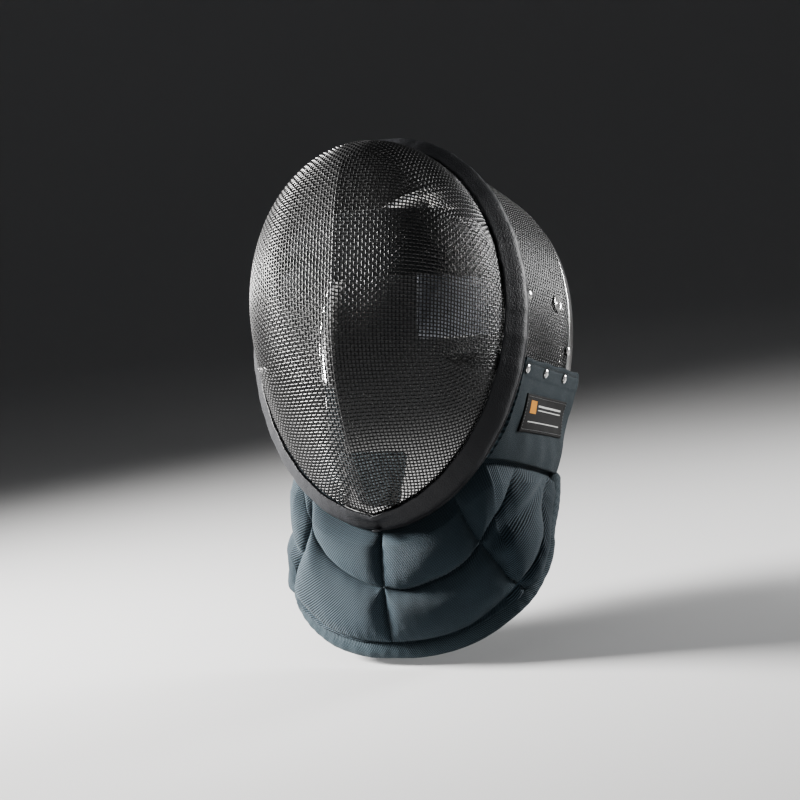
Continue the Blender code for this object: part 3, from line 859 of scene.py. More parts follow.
# flaps, label and what is riveted on them
flap = {
    "wall": 0.0030,
    "top": -0.030,
    "bottom": -0.103,
    "topRise": 0.115,
    "bottomRise": 0.05,
    "rearTop": 0.148,
    "rearBottom": 0.136,
    "spreadStart": 0.050,
    "spread": 0.023,
    "spreadOver": 0.045,
    "rivets": (0.0185, 0.062, 0.109),
    "rivetBelow": 0.0085,
    "cornerRadius": 0.010,
    "edgeRadius": 0.0016,
    "dip": 0.0010,
    "fold": 0.0135,
    "stitchBelow": 0.0042,
    "columns": 120,
    "rows": 84,
}


def flankAt(hand, up, back, lift):
    share = sideShare(back)
    grow = side["grow"] - side["taper"] * share + lift
    meshUp = up - side["rise"] * share
    if meshUp >= 0:
        square = mask["squareTop"] + (side["rearSquare"] - mask["squareTop"]) * share
        low = meshUp / (mask["above"] - side["crownDrop"] * share + grow)
    else:
        square = mask["squareChin"]
        low = -meshUp / (mask["below"] + grow)
    x = (mask["halfWidth"] + grow) * (1 - low ** square) ** (1 / square)
    under = min(max((-up - flap["spreadStart"]) / (-flap["bottom"] - flap["spreadStart"]), 0.0), 1.2)
    behind = max(back - side["trimRear"], 0.0)
    x += flap["spread"] * (1 - math.exp(-behind / flap["spreadOver"])) * under ** 1.4
    return place(hand * x, up, -back)


def flankNormal(hand, up, back, lift):
    along = flankAt(hand, up, back + 0.003, lift) - flankAt(hand, up, back, lift)
    down = flankAt(hand, up - 0.003, back, lift) - flankAt(hand, up, back, lift)
    out = along.cross(down).normalized()
    return -out if out.x * hand < 0 else out


def flapUp(down, back):
    behind = back - side["trimRear"]
    top = flap["top"] + flap["topRise"] * behind
    bottom = flap["bottom"] + flap["bottomRise"] * behind
    return top + (bottom - top) * down


def flapRear(down):
    return flap["rearTop"] + (flap["rearBottom"] - flap["rearTop"]) * down ** 2.3


def flankSpot(hand, up, back, lift=0.0):
    return flankAt(hand, up, back, lift), flankNormal(hand, up, back, lift)


def flapSpot(hand, below, back, lift):
    up = flap["top"] - below + flap["topRise"] * (back - side["trimRear"])
    return flankSpot(hand, up, back, lift)


def flapDip(back):
    # the folded edge dips between the rivets
    phase = (back - flap["rivets"][0]) / (flap["rivets"][1] - flap["rivets"][0])
    return flap["dip"] * (0.5 - 0.5 * math.cos(2 * math.pi * phase))


def flapLift(back, fromTop, height, roll):
    # the turned-over top edge, its stitches, the soft middle and small waves
    fold = 0.0006 * (1 - ramp(fromTop, flap["fold"], 0.0016))
    stitch = -0.0005 * bell(fromTop - flap["stitchBelow"], 0.0008)
    clothTop = flap["fold"] + 0.001
    middle = min(1.0, max(0.0, (fromTop - clothTop) / (height - clothTop)))
    puff = 0.0006 * math.sin(math.pi * middle) ** 0.5
    ripple = 0.00028 * math.sin(210 * back + 3 * math.sin(70 * fromTop)) * ramp(fromTop, 0.0, 0.03)
    ripple += 0.00022 * math.sin(95 * fromTop + 160 * back + 1.1)
    for rivet in flap["rivets"]:
        off = (back - rivet) ** 2 + (fromTop - flap["rivetBelow"]) ** 2
        ripple -= 0.0011 * math.exp(-(off / 0.0055 ** 2))
    wall = flap["wall"] * (0.30 + 0.70 * roll) * 0.88
    return mask["gap"] + wall + (fold + stitch + puff + ripple) * roll


def sideFlap(hand, word):
    first = side["trimRear"] + 3 * mask["gap"]
    height, radius = flap["top"] - flap["bottom"], flap["cornerRadius"]
    rows = []
    for down in eased(flap["rows"], 0.9):
        row = []
        long = flapRear(down) - first
        for along in eased(flap["columns"], 0.9):
            back = first + long * along
            fromTop, fromRear = down * height, (1 - along) * long
            corner = 0.0
            if fromTop < radius and fromRear < radius:
                corner = max(0.0, math.hypot(radius - fromTop, radius - fromRear) - radius)
            dip = flapDip(back) * max(0.0, 1 - fromTop / 0.012)
            up = flapUp(down, back) - dip - corner * 0.7
            back -= corner * 0.7
            edge = min(fromTop, fromRear, (1 - down) * height + 0.0006, along * long + 0.002)
            lift = flapLift(back, fromTop, height, roundOver(edge / flap["edgeRadius"]))
            inner = flankAt(hand, up, back, mask["gap"] + 0.00005)
            row.append((flankAt(hand, up, back, lift), inner, (back, fromTop)))
        rows.append(row)
    piece = slab("flap" + word, rows, looks["flapTwill"])
    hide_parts("side_flap_" + word.lower())


def stitchRow(name, line, slotName, material, length=0.0024, every=0.0034, thick=0.00022, sides=6):
    # short stitches that lie along a line of (point, normal)
    runs = [0.0]
    for (a, _), (b, _) in zip(line, line[1:]):
        runs.append(runs[-1] + (b - a).length)
    centres = np.array([p for p, _ in line])
    normals = np.array([n for _, n in line])
    wires = []
    start = every * 0.3
    while start + length < runs[-1]:
        at = np.linspace(start, start + length, 5)
        middle = np.stack([np.interp(at, runs, centres[:, k]) for k in range(3)], axis=1)
        out = np.stack([np.interp(at, runs, normals[:, k]) for k in range(3)], axis=1)
        out /= np.linalg.norm(out, axis=1)[:, None]
        arch = np.array([-0.6, 0.35, 0.7, 0.35, -0.6]) * thick
        wires.append((middle + out * arch[:, None], out))
        start += every
    tubes(name, wires, thick, sides, slotName, material)


def flapStitches(hand, word):
    lift = mask["gap"] + flap["wall"] * 0.88 + 0.0003
    line = []
    for back in steps(0.0150, 0.1420, 90):
        line.append(flapSpot(hand, flap["stitchBelow"] + flapDip(back) * 0.7, back, lift))
    stitchRow("flapStitches" + word, line, "twill", looks["thread"])


for hand, word in ((1, "Left"), (-1, "Right")):
    sideFlap(hand, word)
    flapStitches(hand, word)
print("flaps made")

label = {
    "length": 0.096,
    "height": 0.028,
    "wall": 0.0008,
    "start": 0.031,
    "below": 0.0255,
    "inset": 0.0020,
}


def labelPatch():
    lift = mask["gap"] + flap["wall"] + mask["gap"]
    long, high = label["length"], label["height"]
    rows = []
    for down in eased(40, 0.85):
        row = []
        for along in eased(90, 0.85):
            edge = min(min(down, 1 - down) * high, min(along, 1 - along) * long)
            roll = roundOver(edge / 0.0008)
            puff = 0.0003 * math.sin(math.pi * down)
            puff += 0.00012 * math.sin(along * 23) * math.sin(down * 5)
            below, back = label["below"] + high * down, label["start"] + long * along
            wall = label["wall"] * (0.25 + 0.75 * roll)
            outer, _ = flapSpot(1, below, back, lift + wall + puff * roll)
            inner, _ = flapSpot(1, below, back, lift - 0.0004)
            row.append((outer, inner, (long * along, high * down)))
        rows.append(row)
    piece = slab("labelWoven", rows, looks["label"])
    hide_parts("label_patch")
    near, farAlong, farDown = label["inset"], long - label["inset"], high - label["inset"]
    ends = [(near, near), (farAlong, near), (farAlong, farDown), (near, farDown), (near, near)]
    line, lift = [], lift + label["wall"] + 0.0002
    for (a, b), (c, d) in zip(ends, ends[1:]):
        for t in steps(0.0, 1.0, 40):
            along, down = a + (c - a) * t, b + (d - b) * t
            line.append(flapSpot(1, label["below"] + down, label["start"] + along, lift))
    small = {"length": 0.0016, "every": 0.0024, "thick": 0.00020}
    stitchRow("labelStitches", line, "label", looks["labelThread"], **small)


labelPatch()
print("label made")

# steel tongue with its pad
tongue = {
    "width": 0.040,
    "wall": 0.0015,
    "reach": 0.020,
    "drop": 0.090,
    "bendEnd": 96,
    "bendParts": 7,
    "dropParts": 6,
    "dropTurn": 4,
    "endRadius": 0.008,
    "padWidth": 0.074,
    "padWall": 0.012,
}


def tongueLine():
    under = -0.0020 - band["wall"] - tongue["wall"] - 2 * mask["gap"]
    start = sideAt(math.pi / 2, side["length"] - band["overlap"] * 0.5, under)
    heading = place(0, 0, -1) - place(0, 0, 0)
    line = [start, start + heading * 0.012]
    point = line[-1] + heading * tongue["reach"] * 0.4
    line.append(point)
    slope, parts = math.atan2(-heading.z, heading.y), tongue["bendParts"]
    for i in range(parts):
        angle = slope + (math.radians(tongue["bendEnd"]) - slope) * (i + 1) / parts
        point = point + Vector((0, math.cos(angle), -math.sin(angle))) * tongue["reach"] / parts * 1.6
        line.append(point)
    parts = tongue["dropParts"]
    for i in range(parts):
        angle = math.radians(tongue["bendEnd"] + tongue["dropTurn"] * i)
        point = point + Vector((0, math.cos(angle), -math.sin(angle))) * tongue["drop"] / parts
        line.append(point)
    return line


def crownFall(x):
    wide = mask["halfWidth"] + side["grow"] - side["taper"]
    tall = mask["above"] - side["crownDrop"] + side["grow"] - side["taper"]
    return tall * (1 - (1 - (abs(x) / wide) ** side["rearSquare"]) ** (1 / side["rearSquare"]))


def backTongue():
    line = openCurve(tongueLine(), 6)
    up = place(0, 1, 0) - place(0, 0, 0)
    radius = tongue["endRadius"]
    rows = []
    for n, point in enumerate(line):
        ahead = line[min(n + 1, len(line) - 1)] - line[max(n - 1, 0)]
        out = Vector((0, ahead.z, -ahead.y)).normalized() * -1
        fromEnd = (len(line) - 1 - n) * 0.0025
        cut = radius - math.sqrt(max(0.0, radius ** 2 - max(0.0, radius - fromEnd) ** 2))
        half = tongue["width"] / 2 - cut
        # curved as the crown at first, then flat
        curve = 1 - max(0.0, min(1.0, (n / 6 - 3) / 5))
        row = []
        for x in steps(-half, half, 25):
            base = point + Vector((x, 0, 0)) - up * crownFall(x) * curve
            rounded = 0.0004 * max(0.0, 1 - (half - abs(x)) / 0.0012)
            row.append((base + out * (tongue["wall"] - rounded), base + out * rounded, (x, n * 0.002)))
        rows.append(row)
    piece = slab("tongueSteel", rows, looks["steel"])
    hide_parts("back_tongue")
    return line


def cushion(name, node, spine, wide, thick, material, columns=44):
    # spine is a list of (centre of the back face, inward direction, width share, across direction)
    rows, run = [], 0.0
    for n, (point, inward, share, across) in enumerate(spine):
        if n:
            run += (point - spine[n - 1][0]).length
        end = min(n, len(spine) - 1 - n) / (len(spine) - 1) * 2
        rise = roundOver(end / 0.35)
        row = []
        for x in steps(-1.0, 1.0, columns):
            crown = math.sqrt(max(0.0, 1 - abs(x) ** 5)) * rise
            dimple = 0.05 * math.sin(7 * x + n * 0.6) * math.sin(n * 0.45)
            high = thick * (0.16 + 0.84 * crown * (1 + dimple * 0.4))
            middle = point + across * (x * wide / 2 * share)
            back = middle + inward * thick * 0.06 * (1 - crown)
            row.append((middle + inward * high, back, (x * wide / 2, run)))
        rows.append(row)
    piece = slab(name, rows, material)
    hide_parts(node)


def tonguePad(line):
    drop = line[-31:]
    spine = []
    for n, point in enumerate(drop):
        ahead = drop[min(n + 1, len(drop) - 1)] - drop[max(n - 1, 0)]
        inward = Vector((0, -abs(ahead.z), -ahead.y if ahead.z < 0 else ahead.y)).normalized()
        end = min(n, len(drop) - 1 - n) / 6
        share = 1 - 0.10 * max(0.0, 1 - end) ** 2
        spine.append((point + inward * mask["gap"], inward, share, Vector((1, 0, 0))))
    wide, thick = tongue["padWidth"], tongue["padWall"]
    cushion("tongueCushion", "tongue_pad", spine, wide, thick, looks["backPad"])


tonguePad(backTongue())
print("tongue made")


brow = {"low": 0.0262, "high": 0.0508, "wall": 0.010, "inset": 0.0012, "behind": 0.030, "ahead": 0.030}


def browPad():
    sections, uv = [], []
    count, rows = 34, 110
    for n, angle in enumerate(steps(-88, 88, rows)):
        turn = math.radians(angle)
        full = roundOver(min(n, rows - 1 - n) / 8) * 0.75 + 0.25
        section = []
        for k in range(count):
            around = 2 * math.pi * k / count
            c, s = math.cos(around), math.sin(around)
            share = 0.5 + 0.5 * signed(s, 0.5)
            inward = 0.5 - 0.5 * signed(c, 0.7)
            dent = 0.035 * math.sin(around * 3 + n * 0.35) * (1 if c < 0 else 0)
            inward = 0.5 + (inward - 0.5) * full + dent
            up = brow["low"] + brow["high"] * (0.5 + (share - 0.5) * (0.9 + 0.1 * full))
            reach = mask["halfWidth"] * math.sqrt(1 - (up / mask["above"]) ** 2) - brow["inset"]
            depth = brow["behind"] + brow["ahead"] - brow["wall"] * inward
            x = (reach - brow["wall"] * inward) * math.sin(turn)
            section.append(place(x, up, -brow["behind"] + depth * math.cos(turn)))
            uv.append((n / rows * 0.3, k / count * 0.1))
        sections.append(section)
    piece = sweep("browCushion", sections, looks["lining"], closed=False, uv=uv)
    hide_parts("brow_pad")


chin = {
    "above": 0.0049,
    "height": 0.036,
    "half": 0.0255,
    "lean": 0.016,
    "back": -0.0055,
    "thick": 0.0145,
}


def chinPad():
    sections, uv = [], []
    count, rows = 36, 40
    for n, share in enumerate(steps(0.0, 1.0, rows)):
        up = -(mask["below"] - dome["inset"]) + chin["above"] + chin["height"] * share
        half = chin["half"] * (0.45 + 0.55 * share)
        full = 0.35 + 0.65 * roundOver(min(n, rows - 1 - n) / 5)
        section = []
        for k in range(count):
            around = 2 * math.pi * k / count
            c, s = math.cos(around), math.sin(around)
            x = half * signed(c, 0.45) * (0.92 + 0.08 * full)
            forward = chin["back"] + chin["lean"] * share + chin["thick"] * signed(s, 0.6) * full
            section.append(place(x, up, forward + 0.0006 * math.sin(4 * x / half + n * 0.3)))
            uv.append((k / count * 0.09, share * 0.032))
        sections.append(section)
    piece = sweep("chinCushion", sections, looks["chin"], closed=False, uv=uv)
    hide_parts("chin_pad")


browPad()
chinPad()
print("pads made")

# quilted bib
bib = {
    "wall": 0.0100,
    "edgeWall": 0.0040,
    "halfWidth": 0.103,
    "length": 0.093,
    "fromFace": 0.045,
    "belly": 0.0075,
    "tuck": 0.0065,
    "tuckGrow": 0.0008,
    "tuckUp": 0.006,
    "seamGap": 0.0015,
    "relief": 0.0084,
    "cell": 0.0175,
    "groove": 0.0013,
    "grooveWidth": 0.0012,
    "sag": 0.0030,
    "sagReach": 0.0045,
    "fullReach": 0.018,
    "valley": 0.0046,
    "valleyWidth": 0.0050,
    "drawn": 0.0040,
    "rearDrawn": 0.0030,
    "squeeze": 0.0070,
    "yokeStart": 0.58,
    "yokeAngle": -43.3,
    "yokeEnd": 0.004,
    "hemHigh": 0.0130,
    "hemThick": 0.0090,
    "hemSeat": 0.924,
    "hemWrap": 0.036,
    "columns": 347,
    "rows": 121,
    # the hem line: around, across, forward, down
    "hem": (
        (0.00, 0.000, 0.990, 1.540),
        (0.20, 0.262, 0.956, 1.536),
        (0.40, 0.540, 0.845, 1.496),
        (0.58, 0.768, 0.690, 1.415),
        (0.72, 0.898, 0.518, 1.340),
        (0.84, 0.947, 0.337, 1.266),
        (0.93, 0.942, 0.188, 1.192),
        (1.00, 0.921, 0.069, 1.120),
    ),
    "run": 0.165,
    "drop": 0.082,
}


def hemAt(around):
    # across, forward and down, on a smooth line through the rows of the table
    rows = bib["hem"]
    last = len(rows) - 1
    k = 0
    while k < last - 1 and around > rows[k + 1][0]:
        k += 1
    span = rows[k + 1][0] - rows[k][0]
    t = (around - rows[k][0]) / span
    made = []
    for column in (1, 2, 3):
        slopes = []
        for j in (k, k + 1):
            before, after = rows[max(j - 1, 0)], rows[min(j + 1, last)]
            slope = (after[column] - before[column]) / (after[0] - before[0])
            slopes.append(0.0 if j == 0 and column > 1 else slope)
        start = (2 * t ** 3 - 3 * t ** 2 + 1) * rows[k][column]
        start += (t ** 3 - 2 * t ** 2 + t) * span * slopes[0]
        end = (3 * t ** 2 - 2 * t ** 3) * rows[k + 1][column] + (t ** 3 - t ** 2) * span * slopes[1]
        made.append(start + end)
    return made


def bibTop(around, tuck):
    hand, a = math.copysign(1.0, around), abs(around)
    start = bib["tuck"] if tuck else side["trimRear"] + bib["seamGap"]
    if a <= bib["yokeStart"]:
        angle = math.radians(-90 + (90 + bib["yokeAngle"]) * a / bib["yokeStart"])
        x, up = egg(angle, bib["tuckGrow"])
        return place(hand * x, up, -start)
    share = (a - bib["yokeStart"]) / (1 - bib["yokeStart"])
    back = start + (flap["rearBottom"] - bib["yokeEnd"] - start) * share
    up = flapUp(1.0, back) - bib["seamGap"]
    if tuck:
        up += bib["tuckUp"] * min(share * 6, 1.0)
    return flankAt(hand, up, back, bib["tuckGrow"] - side["grow"])


def bibHem(around):
    across, forward, down = hemAt(abs(around))
    return Vector((
        math.copysign(1.0, around) * across * bib["halfWidth"],
        bib["fromFace"] - forward * bib["length"] - mask["back"],
        -down * mask["below"] - mask["down"],
    ))


def seamLine(points, count=60):
    # a smooth open line through (around, down) points, in metres of cloth
    flat = [Vector((a * bib["run"], d * bib["drop"], 0.0)) for a, d in points]
    return np.array([(p.x, p.y) for p in openCurve(flat, max(2, count // len(points)))])


def lineDistance(line, x, y):
    a, b = line[:-1], line[1:]
    ab = b - a
    t = np.clip(((x - a[:, 0]) * ab[:, 0] + (y - a[:, 1]) * ab[:, 1]) / (ab ** 2).sum(axis=1), 0.0, 1.0)
    return float(np.min(np.hypot(x - a[:, 0] - ab[:, 0] * t, y - a[:, 1] - ab[:, 1] * t)))


# the quilting of each half, as (around, down) points
rim = [
    (-0.05, 1.0), (0.16, 0.992), (0.30, 0.99), (0.44, 0.975), (0.56, 0.95), (0.66, 0.90), (0.75, 0.81),
    (0.82, 0.68), (0.865, 0.52), (0.91, 0.32), (0.985, 0.04), (1.02, -0.10),
]
seams = {
    "left": {
        "arc": [
            (-0.05, 0.49), (0.0, 0.50), (0.1, 0.535), (0.237, 0.525), (0.325, 0.52), (0.412, 0.50),
            (0.475, 0.463), (0.537, 0.413), (0.612, 0.325), (0.662, 0.213), (0.724, 0.025), (0.75, -0.10),
        ],
        "slant": [
            (0.38, -0.06), (0.40, 0.10), (0.437, 0.275), (0.487, 0.463), (0.549, 0.662), (0.599, 0.812),
            (0.662, 0.925), (0.70, 1.02),
        ],
        "valley": [(0.537, 0.512), (0.624, 0.438), (0.724, 0.35), (0.887, 0.138), (1.0, 0.0)],
        "rim": rim,
    },
    "right": {
        "arc": [
            (-0.05, 0.49), (0.0, 0.50), (0.062, 0.487), (0.162, 0.438), (0.275, 0.375), (0.35, 0.30),
            (0.40, 0.213), (0.48, 0.10), (0.56, -0.10),
        ],
        "slant": [
            (0.43, -0.08), (0.418, 0.06), (0.405, 0.20), (0.455, 0.413), (0.524, 0.588), (0.60, 0.80),
            (0.67, 1.02),
        ],
        "valley": [(0.52, 0.56), (0.624, 0.46), (0.724, 0.35), (0.887, 0.138), (1.0, 0.0)],
        "rim": rim,
    },
}
seamLines = {
    half: {name: seamLine(points) for name, points in lines.items()} for half, lines in seams.items()
}


def seamsAt(around):
    return seamLines["left" if around >= 0 else "right"]


def arcDown(around):
    line = seamsAt(around)["arc"]
    return float(np.interp(abs(around) * bib["run"], line[:, 0], line[:, 1])) / bib["drop"]


def roundedTop(around):
    # the top line without its corner behind the trim
    spot = Vector((0, 0, 0))
    for step, share in ((-0.10, 0.1), (-0.05, 0.2), (0.0, 0.4), (0.05, 0.2), (0.10, 0.1)):
        near = around + step * min(1.0, (1 - abs(around)) / 0.1)
        spot += bibTop(max(-1.0, min(1.0, near)), False) * share
    return spot


def bibBase(around, down):
    # the plain wall of the bib, and the direction out of it
    base = roundedTop(around).lerp(bibHem(around), down)
    axis = bib["fromFace"] - mask["back"]
    out = Vector((base.x, (base.y - axis) * 1.1 if base.y < axis else 0.0, 0.0)).normalized()
    a = abs(around)
    belly = bib["belly"] * math.sin(math.pi * min(max(down, 0.0), 1.0) ** 0.75) * (1 - 0.8 * a ** 1.5)
    if around < 0:
        # the wearer's right flank hangs closer in
        high = (1 - ramp(down, 0.6, 0.4)) * ramp(down, 0.0, 0.15)
        belly -= bib["squeeze"] * ramp(a, 0.42, 0.3) * high
    return base, out, belly


def bibTucks(x, y, near):
    # small gathers along the seams
    tucks = 0.00038 * math.sin(x * 700 + 2.0 * math.sin(y * 120)) * math.exp(-near["rim"] / 0.007)
    tucks += 0.00034 * math.sin(x * 560 + 1.5 * math.sin(x * 60)) * math.exp(-near["arc"] / 0.006)
    upright = min(near["middle"], near["slant"])
    return tucks + 0.00034 * math.sin(y * 620 + 30 * x) * math.exp(-upright / 0.006)


def bibWaves(x, y, around):
    # soft unevenness of the padding
    waves = 0.0006 * math.sin(x * 88 + 1.7 + around) * math.sin(y * 120 + x * 40 + 0.6)
    return waves + 0.0004 * math.sin(x * 150 + y * 90 - around) * math.sin(y * 60 - 1.0)


def bibWall(around, down):
    # the same without its quilting
    base, out, belly = bibBase(around, down)
    return base + out * belly, out


def bibAt(around, down):
    # the quilted face of the bib, and the direction out of it
    base, out, belly = bibBase(around, down)
    a = abs(around)
    x, y = a * bib["run"], down * bib["drop"]
    near = {name: lineDistance(line, x, y) for name, line in seamsAt(around).items()}
    valley = near.pop("valley")
    near["middle"] = x
    joined = sum((d + 0.0003) ** -4 for d in near.values()) ** -0.25
    arch = (1 - (1 - min(joined / bib["cell"], 1.0)) ** 2) ** 0.60
    # the lower cells are fuller, and the upper ones hang over the arc
    above = (arcDown(around) - down) * bib["drop"]
    full = 0.96 + 0.22 * ramp(-above, 0.0, bib["fullReach"]) - 0.25 * ramp(a, 0.8, 0.2)
    over = max(above, 0.0) / bib["sagReach"]
    sag = bib["sag"] * over * math.exp(1 - over)
    # the flanks are drawn in above and swell below
    drawn = bib["drawn"] * ramp(a, 0.36, 0.16) * (1 - ramp(a, 0.80, 0.2))
    swell = ramp(down, 0.38, 0.25) * 1.3 * smooth(1.0, 0.3, (down - 0.8) / 0.2)
    shape = drawn * (swell - 0.8)
    shape -= bib["valley"] * bell(valley, bib["valleyWidth"]) * arch
    shape -= bib["rearDrawn"] * ramp(a, 0.72, 0.2) * ramp(down, 0.0, 0.3)
    start = min(1.0, down * 7)
    lift = bib["relief"] * arch * full - bib["groove"] * math.exp(-joined / bib["grooveWidth"])
    lift += bibTucks(x, y, near) * min(1.0, joined / 0.003) + bibWaves(x, y, around) * arch
    fall = (bibHem(around) - roundedTop(around)).normalized() * sag * arch * start
    return base + out * (belly + (lift + shape) * start) + fall, out


def bibSkirt():
    columns = steps(-1.0, 1.0, bib["columns"])
    shares = steps(0.0, 1.0, bib["rows"])
    tall = [(bibHem(a) - bibTop(a, False)).length for a in columns]

    def downAt(a, share):
        # one row runs along the arc
        middle = max(arcDown(a), 0.22)
        return share * 2 * middle if share <= 0.5 else middle + (share * 2 - 1) * (1 - middle)

    rows = []
    for k, share in enumerate([0.0] + shares):
        row = []
        for a, high in zip(columns, tall):
            d = downAt(a, share)
            edge = min(1.0, 5 * min(d, 1 - d), 9 * (1 - abs(a)))
            wall = bib["edgeWall"] + (bib["wall"] - bib["edgeWall"]) * edge
            back, out = bibWall(a, d)
            if k == 0:
                # the first row is tucked under the trim
                outer = back = bibTop(a, True)
            else:
                outer = bibAt(a, d)[0]
            across = a * bib["run"] * 1.06
            row.append((outer, back - out * wall, (across, (d if k else -0.10) * high)))
        rows.append(row)
    piece = slab("bibQuilt", rows, looks["twill"])
    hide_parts("bib_skirt")


def hemSpots():
    spots = [(-1.0, d) for d in steps(-0.10, 0.92, 44)]
    spots += [(a, 1.0) for a in steps(-1.0, 1.0, 281)[2:-2]]
    spots += [(1.0, d) for d in steps(0.92, -0.10, 44)]
    return spots


def hemPath():
    # the hem's points, each with the direction away from the skirt
    spots = hemSpots()
    walls = [bibWall(a, d) for a, d in spots]
    points = [point - out * bib["edgeWall"] * 0.5 for point, out in walls]
    aways = []
    for k, (a, _) in enumerate(spots):
        out = walls[k][1]
        along = (points[min(k + 2, len(points) - 1)] - points[max(k - 2, 0)]).normalized()
        away = along.cross(out).normalized()
        heading = bibHem(a) - bibTop(a, False) if abs(a) < 0.7 else Vector((0, 0.5, -1.0))
        if away.dot(heading) < 0:
            away.negate()
        aways.append(tuple(away + out * 0.80 * ramp(abs(a), 0.80, 0.2)))
    # turn gently round the two rear corners
    aways = np.array(aways)
    for _ in range(12):
        aways[1:-1] = (aways[:-2] + aways[1:-1] * 2 + aways[2:]) / 4
    return points, aways


def hemRoll():
    points, aways = hemPath()
    sections, uv, run = [], [], 0.0
    count = 26
    high, thick = bib["hemHigh"] / 2, bib["hemThick"] / 2
    for k, point in enumerate(points):
        if k:
            run += (point - points[k - 1]).length
        along = (points[min(k + 1, len(points) - 1)] - points[max(k - 1, 0)]).normalized()
        away = Vector(aways[k]).normalized()
        across = along.cross(away).normalized()
        centre = point + away * (high * bib["hemSeat"] + 0.6 * mask["gap"])
        gather = 0.00030 * math.sin(run * 620 + 1.4 * math.sin(run * 75))
        gather += 0.00022 * math.sin(run * 210)
        section = []
        for i in range(count):
            turn = 2 * math.pi * (i + 0.5) / count
            c, s = math.cos(turn), math.sin(turn)
            swell = 1 + gather / thick * (0.6 + 0.4 * s)
            tall = 0.98 + 0.02 * swell
            section.append(centre + across * thick * c * swell + away * high * s * tall)
            uv.append((run, i / count * bib["hemWrap"]))
        sections.append(section)
    piece = sweep("hemRoll", sections, looks["hemTwill"], closed=False, uv=uv)
    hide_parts("bib_hem")


quilting = {"length": 0.0026, "every": 0.0036, "thick": 0.00026}


def quiltStitches():
    # thread sunk in the quilting seams
    rows = {}
    for hand, half in ((1, "left"), (-1, "right")):
        for name in ("arc", "slant"):
            spots = [(x / bib["run"], y / bib["drop"]) for x, y in seamLines[half][name]]
            spots = [(hand * a, d) for a, d in spots if a > 0.004 and 0.06 < d < 0.97]
            rows[half.title() + name.title()] = spots
    rows["Middle"] = [(0.0, d) for d in steps(0.08, 0.96, 60)]
    for word, spots in rows.items():
        line = [(point + out * 0.0001, out) for point, out in (bibAt(a, d) for a, d in spots)]
        stitchRow("quiltStitches" + word, line, "twill", looks["quiltThread"], **quilting)


def quiltKnots():
    # the thread ends are knotted where seams cross
    wires = []
    for a, d in ((0.0, 0.50), (0.475, 0.463), (-0.40, 0.213)):
        point, out = bibAt(a, d)
        level = out.cross(Vector((0, 0, 1))).normalized()
        for turn in (0.6, 2.2):
            along = level * math.cos(turn) + Vector((0, 0, 1)) * math.sin(turn)
            row = []
            for s in (-1, -0.5, 0, 0.5, 1):
                row.append(point + along * s * 0.0017 + out * (0.0012 - 0.0010 * s * s))
            wires.append((np.array(row), np.array([out] * len(row))))
    tubes("quiltKnots", wires, 0.00040, 8, "twill", looks["quiltThread"])


bibSkirt()
hemRoll()
quiltStitches()
quiltKnots()
print("bib made")


# rivets and badge, with the height and the place behind the trim's joint
metal = {
    "rivetRadius": 0.0036,
    "rivetDome": 0.46,
    "bandRivet": (-0.004, 0.1160),
    "meshRivet": (0.017, 0.0185),
    "badge": (0.027, 0.089),
    "badgeRadius": 0.0085,
    "badgeWall": 0.0010,
    "badgeNarrow": 0.74,
}


def rivetMaster():
    bpy.ops.object.select_all(action="DESELECT")
    bpy.ops.mesh.primitive_uv_sphere_add(segments=32, ring_count=20, radius=metal["rivetRadius"])
    cap = bpy.context.object
    bpy.ops.object.mode_set(mode="EDIT")
    bpy.ops.mesh.select_all(action="SELECT")
    bpy.ops.mesh.bisect(plane_co=(0, 0, 0), plane_no=(0, 0, 1), clear_inner=True, use_fill=True)
    bpy.ops.mesh.select_all(action="SELECT")
    bpy.ops.transform.resize(value=(1, 1, metal["rivetDome"]))
    bpy.ops.object.mode_set(mode="OBJECT")
    bpy.ops.object.shade_smooth_by_angle(angle=math.radians(40))
    cap.name = "rivetHead"
    return cap


def setDown(piece, point, normal):
    turn = Vector((0, 0, 1)).rotation_difference(normal)
    piece.matrix_world = Matrix.Translation(point) @ turn.to_matrix().to_4x4()
    bpy.ops.object.select_all(action="DESELECT")
    piece.select_set(True)
    bpy.context.view_layer.objects.active = piece
    bpy.ops.object.transform_apply(location=True, rotation=True, scale=True)


def copyOf(master, name):
    twin = master.copy()
    twin.data = master.data.copy()
    twin.name = name
    bpy.context.scene.collection.objects.link(twin)
    return twin


def smallMetal():
    master = rivetMaster()
    master.data.materials.append(looks["rivet"])
    spots = []
    lift = mask["gap"] + flap["wall"]
    for hand, word in ((1, "Left"), (-1, "Right")):
        low = word.lower()
        for n, back in enumerate(flap["rivets"]):
            point, out = flapSpot(hand, flap["rivetBelow"], back, lift)
            name, node = f"flapRivet{word}{n + 1}", f"flap_rivet_{low}_{n + 1}"
            spots.append((name, node, point - out * 0.0008, out, "steel"))
        for name, node in (("bandRivet", "band_rivet_"), ("meshRivet", "mesh_rivet_")):
            point, out = flankSpot(hand, *metal[name])
            spots.append((name + word, node + low, point + out * 0.0002, out, "steel"))
    chinUp = egg(-math.pi / 2, side["grow"] + mask["gap"] + trim["wall"])[1]
    out = (place(0, -1, -0.16) - place(0, 0, 0)).normalized()
    point = place(0, chinUp, -0.00118) + out * 0.0002
    spots.append(("chinRivet", "chin_rivet", point, out, "leatherette"))
    for name, node, point, out, slotName in spots:
        twin = copyOf(master, name)
        if slotName == "leatherette":
            twin.data.materials.clear()
            twin.data.materials.append(looks["trim"])
        setDown(twin, point, out)
        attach(twin, "root")
        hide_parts(node)
    bpy.data.objects.remove(master)


